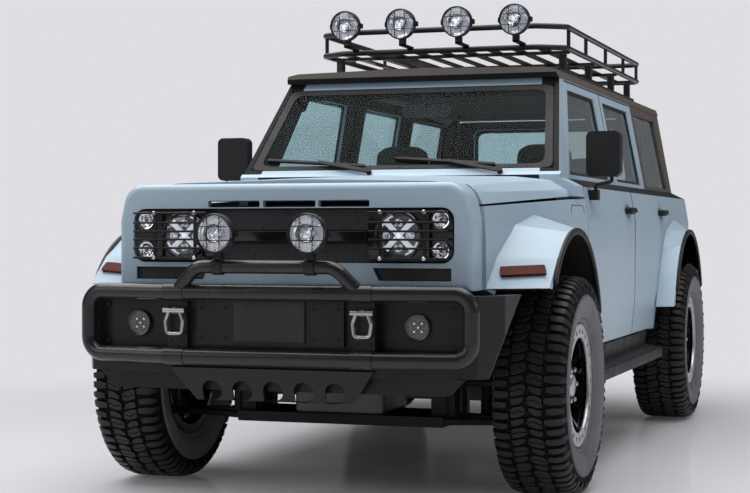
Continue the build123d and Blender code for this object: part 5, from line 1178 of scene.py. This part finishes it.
# Second finish of a node, and the test of a face's middle and normal that picks its faces
TWO_FINISHES = {
    "hard_top": (LINING, hidden_top),
    "screen_frame": (LINING, lambda middle, normal: normal.y > 0.2 or normal.z < -0.5),
    "hood": (LINING, lambda middle, normal: normal.z < -0.2),
    "front_fenders": (TRIM, lambda middle, normal: normal.z < -0.2),
    "tailgate": (LINING, lambda middle, normal: normal.y < -0.3),
    "rear_frame": (LINING, lambda middle, normal: normal.y < -0.3),
    "body_shell": (LINING, lambda middle, normal: middle.z < 1.10 or (normal.z < 0.3
                                                                      and abs(middle.x) < 0.6)),
    "fixed_glass": (SMOKED, lambda middle, normal: middle.y > at(2.0)),
    "outer_lamps": (RED, lambda middle, normal: middle.y > at(2.0)),
}
# Rounded copies: width of the rounding, and planes that trim them
WING_CUT = ((0.853, at(-0.700), 0.745), (0.908, 0.218, -0.358))
ROUNDED = {"front_fenders": (0.060, []), "rear_flares": (0.060, []), "hood": (0.030, []),
           "nose_panel": (0.012, []), "bumper_front": (0.006, [WING_CUT])}
CARRIERS = {"hood": "hood_lid"}
for _, side in SIDES:
    TWO_FINISHES[f"body_side_{side}"] = (LINING, hidden_side)
    ROUNDED[f"body_side_{side}"] = (0.025, [])
    for end in ("front", "rear"):
        TWO_FINISHES[f"door_{end}_{side}"] = (LINING, hidden_side)
        ROUNDED[f"door_{end}_{side}"] = (0.025, [])
        CARRIERS[f"door_{end}_{side}"] = f"{end}_door_{side}"


# A ridge is rounded only if it is this long, turns this many degrees and lies between faces this large
RIDGE_LENGTH = 0.03
RIDGE_TURNS = (5, 50)
RIDGE_AREA = 0.002


def pick_faces(mesh, name, place=Matrix()):
    """Gives a node's second finish to the faces that its test picks."""
    if name in TWO_FINISHES:
        second, test = TWO_FINISHES[name]
        mesh.materials.append(second)
        turn = place.to_3x3()
        for face in mesh.polygons:
            if test(place @ face.center, turn @ face.normal):
                face.material_index = 1


def rounded_copy(name, material, width):
    """Drawn copy of a node: flat parts joined, ridges rounded, and any corner outside a plane cut off."""
    node = frame["nodes"][name]
    reach, cuts = ROUNDED[name]
    work = bmesh.new()
    work.from_mesh(node.data)
    work.transform(node.matrix_world)
    bmesh.ops.remove_doubles(work, verts=work.verts, dist=0.00002)
    for spot, normal in cuts:
        for side in (1, -1):
            parts = work.verts[:] + work.edges[:] + work.faces[:]
            cut = bmesh.ops.bisect_plane(work, geom=parts, plane_co=(spot[0] * side, spot[1], spot[2]),
                                         plane_no=(normal[0] * side, normal[1], normal[2]), clear_outer=True)
            rim = [part for part in cut["geom_cut"] if isinstance(part, bmesh.types.BMEdge)]
            bmesh.ops.holes_fill(work, edges=rim, sides=0)
    bmesh.ops.dissolve_limit(work, angle_limit=math.radians(0.5), verts=work.verts, edges=work.edges)
    ridges = []
    for edge in work.edges:
        if len(edge.link_faces) == 2 and edge.calc_length() > RIDGE_LENGTH:
            turn = math.degrees(edge.calc_face_angle(0))
            small = min(face.calc_area() for face in edge.link_faces)
            if RIDGE_TURNS[0] < turn < RIDGE_TURNS[1] and small > RIDGE_AREA:
                ridges.append(edge)
    if ridges:
        bmesh.ops.bevel(work, geom=ridges, offset=reach, offset_type="OFFSET", segments=4, profile=0.5,
                        affect="EDGES", clamp_overlap=True)
    bmesh.ops.recalc_face_normals(work, faces=work.faces)
    mesh = bpy.data.meshes.new(f"{name}_drawn")
    work.to_mesh(mesh)
    work.free()
    mesh.shade_smooth()
    mesh.set_sharp_from_angle(angle=math.radians(40))
    mesh.materials.append(material)
    pick_faces(mesh, name)
    made = bpy.data.objects.new(f"{name}_drawn", mesh)
    bpy.context.scene.collection.objects.link(made)
    if width:
        soften(made, width, weld=False, angle=42)
    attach(made, CARRIERS.get(name, BODY))
    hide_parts(name)


def dress_nodes():
    """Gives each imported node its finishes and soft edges."""
    for name, (material, width) in NODE_LOOKS.items():
        if name in ROUNDED:
            rounded_copy(name, material, width)
            continue
        node = frame["nodes"][name]
        node.data.materials.clear()
        node.data.materials.append(material)
        pick_faces(node.data, name, node.matrix_world)
        if width:
            soften(node, width)


# Floor, background and light

BACKDROP = (0.735, 0.728, 0.765)
# Distance from the origin at which the floor starts to turn into the background, and where it has
FADE_START = 1.2
FADE_END = 4.6
FLOOR_HALF = 90


def make_floor():
    """Pale floor that keeps the shadow and turns into the background further out."""
    material, nodes, links, shape = shader("floor")
    shape.inputs["Base Color"].default_value = (0.80, 0.795, 0.825, 1)
    haze = noise(nodes, links, 0.6)
    links.new(spread(nodes, links, haze.outputs["Fac"], 0.10, 0.14), shape.inputs["Roughness"])
    glow = add_node(nodes, "Emission", Color=(*BACKDROP, 1))
    place = add_node(nodes, "TexCoord")
    length = add_node(nodes, "VectorMath")
    length.operation = "LENGTH"
    links.new(place.outputs["Object"], length.inputs[0])
    fade = add_node(nodes, "MapRange", From_Min=FADE_START, From_Max=FADE_END)
    fade.interpolation_type = "SMOOTHSTEP"
    links.new(length.outputs["Value"], fade.inputs["Value"])
    blend = add_node(nodes, "MixShader")
    links.new(fade.outputs["Result"], blend.inputs["Fac"])
    links.new(shape.outputs["BSDF"], blend.inputs[1])
    links.new(glow.outputs["Emission"], blend.inputs[2])
    links.new(blend.outputs["Shader"], nodes["Material Output"].inputs["Surface"])
    form = Form()
    form.add([(x * FLOOR_HALF, y * FLOOR_HALF, 0) for x, y in ((-1, -1), (1, -1), (1, 1), (-1, 1))],
             [[0, 1, 2, 3]])
    form.piece("floor", None, None, material)


def make_world():
    """Background as seen, a soft fill for the light, and a dimmer one for what gloss mirrors."""
    world = bpy.data.worlds.new("world")
    bpy.context.scene.world = world
    world.use_nodes = True
    nodes, links = world.node_tree.nodes, world.node_tree.links
    seen = nodes["Background"]
    seen.inputs["Color"].default_value = (*BACKDROP, 1)
    seen.inputs["Strength"].default_value = 1.0
    fill = add_node(nodes, "Background", Color=(0.93, 0.95, 1.0, 1), Strength=0.36)
    dim = add_node(nodes, "Background", Color=(0.95, 0.96, 1.0, 1), Strength=0.11)
    path = add_node(nodes, "LightPath")
    seen_rays = add_node(nodes, "Math")
    seen_rays.operation = "MAXIMUM"
    links.new(path.outputs["Is Camera Ray"], seen_rays.inputs[0])
    links.new(path.outputs["Is Transmission Ray"], seen_rays.inputs[1])
    mirror_mix = add_node(nodes, "MixShader")
    links.new(path.outputs["Is Glossy Ray"], mirror_mix.inputs["Fac"])
    links.new(fill.outputs["Background"], mirror_mix.inputs[1])
    links.new(dim.outputs["Background"], mirror_mix.inputs[2])
    blend = add_node(nodes, "MixShader")
    links.new(seen_rays.outputs["Value"], blend.inputs["Fac"])
    links.new(mirror_mix.outputs["Shader"], blend.inputs[1])
    links.new(seen.outputs["Background"], blend.inputs[2])
    links.new(blend.outputs["Shader"], nodes["World Output"].inputs["Surface"])


# Name, place, target, size and power of each soft light
LIGHTS = [
    ("top", (-0.6, at(0.8), 5.4), (0, at(0.8), 0), (7.0, 9.0), 700),
    ("front_left", (-4.6, at(-5.0), 3.4), (0, at(0), 0.9), (4.5, 3.5), 80),
    ("right", (6.5, at(0.8), 3.0), (0.6, at(1.6), 0.9), (4.5, 2.0), 34),
]


def make_lights():
    for name, place, target, size, power in LIGHTS:
        data = bpy.data.lights.new(name, "AREA")
        data.shape = "RECTANGLE"
        data.size, data.size_y = size
        data.energy = power
        lamp = bpy.data.objects.new(name, data)
        bpy.context.scene.collection.objects.link(lamp)
        lamp.location = place
        lamp.rotation_mode = "QUATERNION"
        lamp.rotation_quaternion = (Vector(target) - Vector(place)).to_track_quat("-Z", "Y")


make_camera()
dress_nodes()
make_wheels()
make_grille()
make_clusters()
make_driving_lamps()
make_fog_lamps()
make_bumper()
make_window_edges()
make_side_details()
make_seats()
make_cabin()
make_floor()
make_world()
make_lights()
bpy.context.scene.view_settings.view_transform = "Standard"
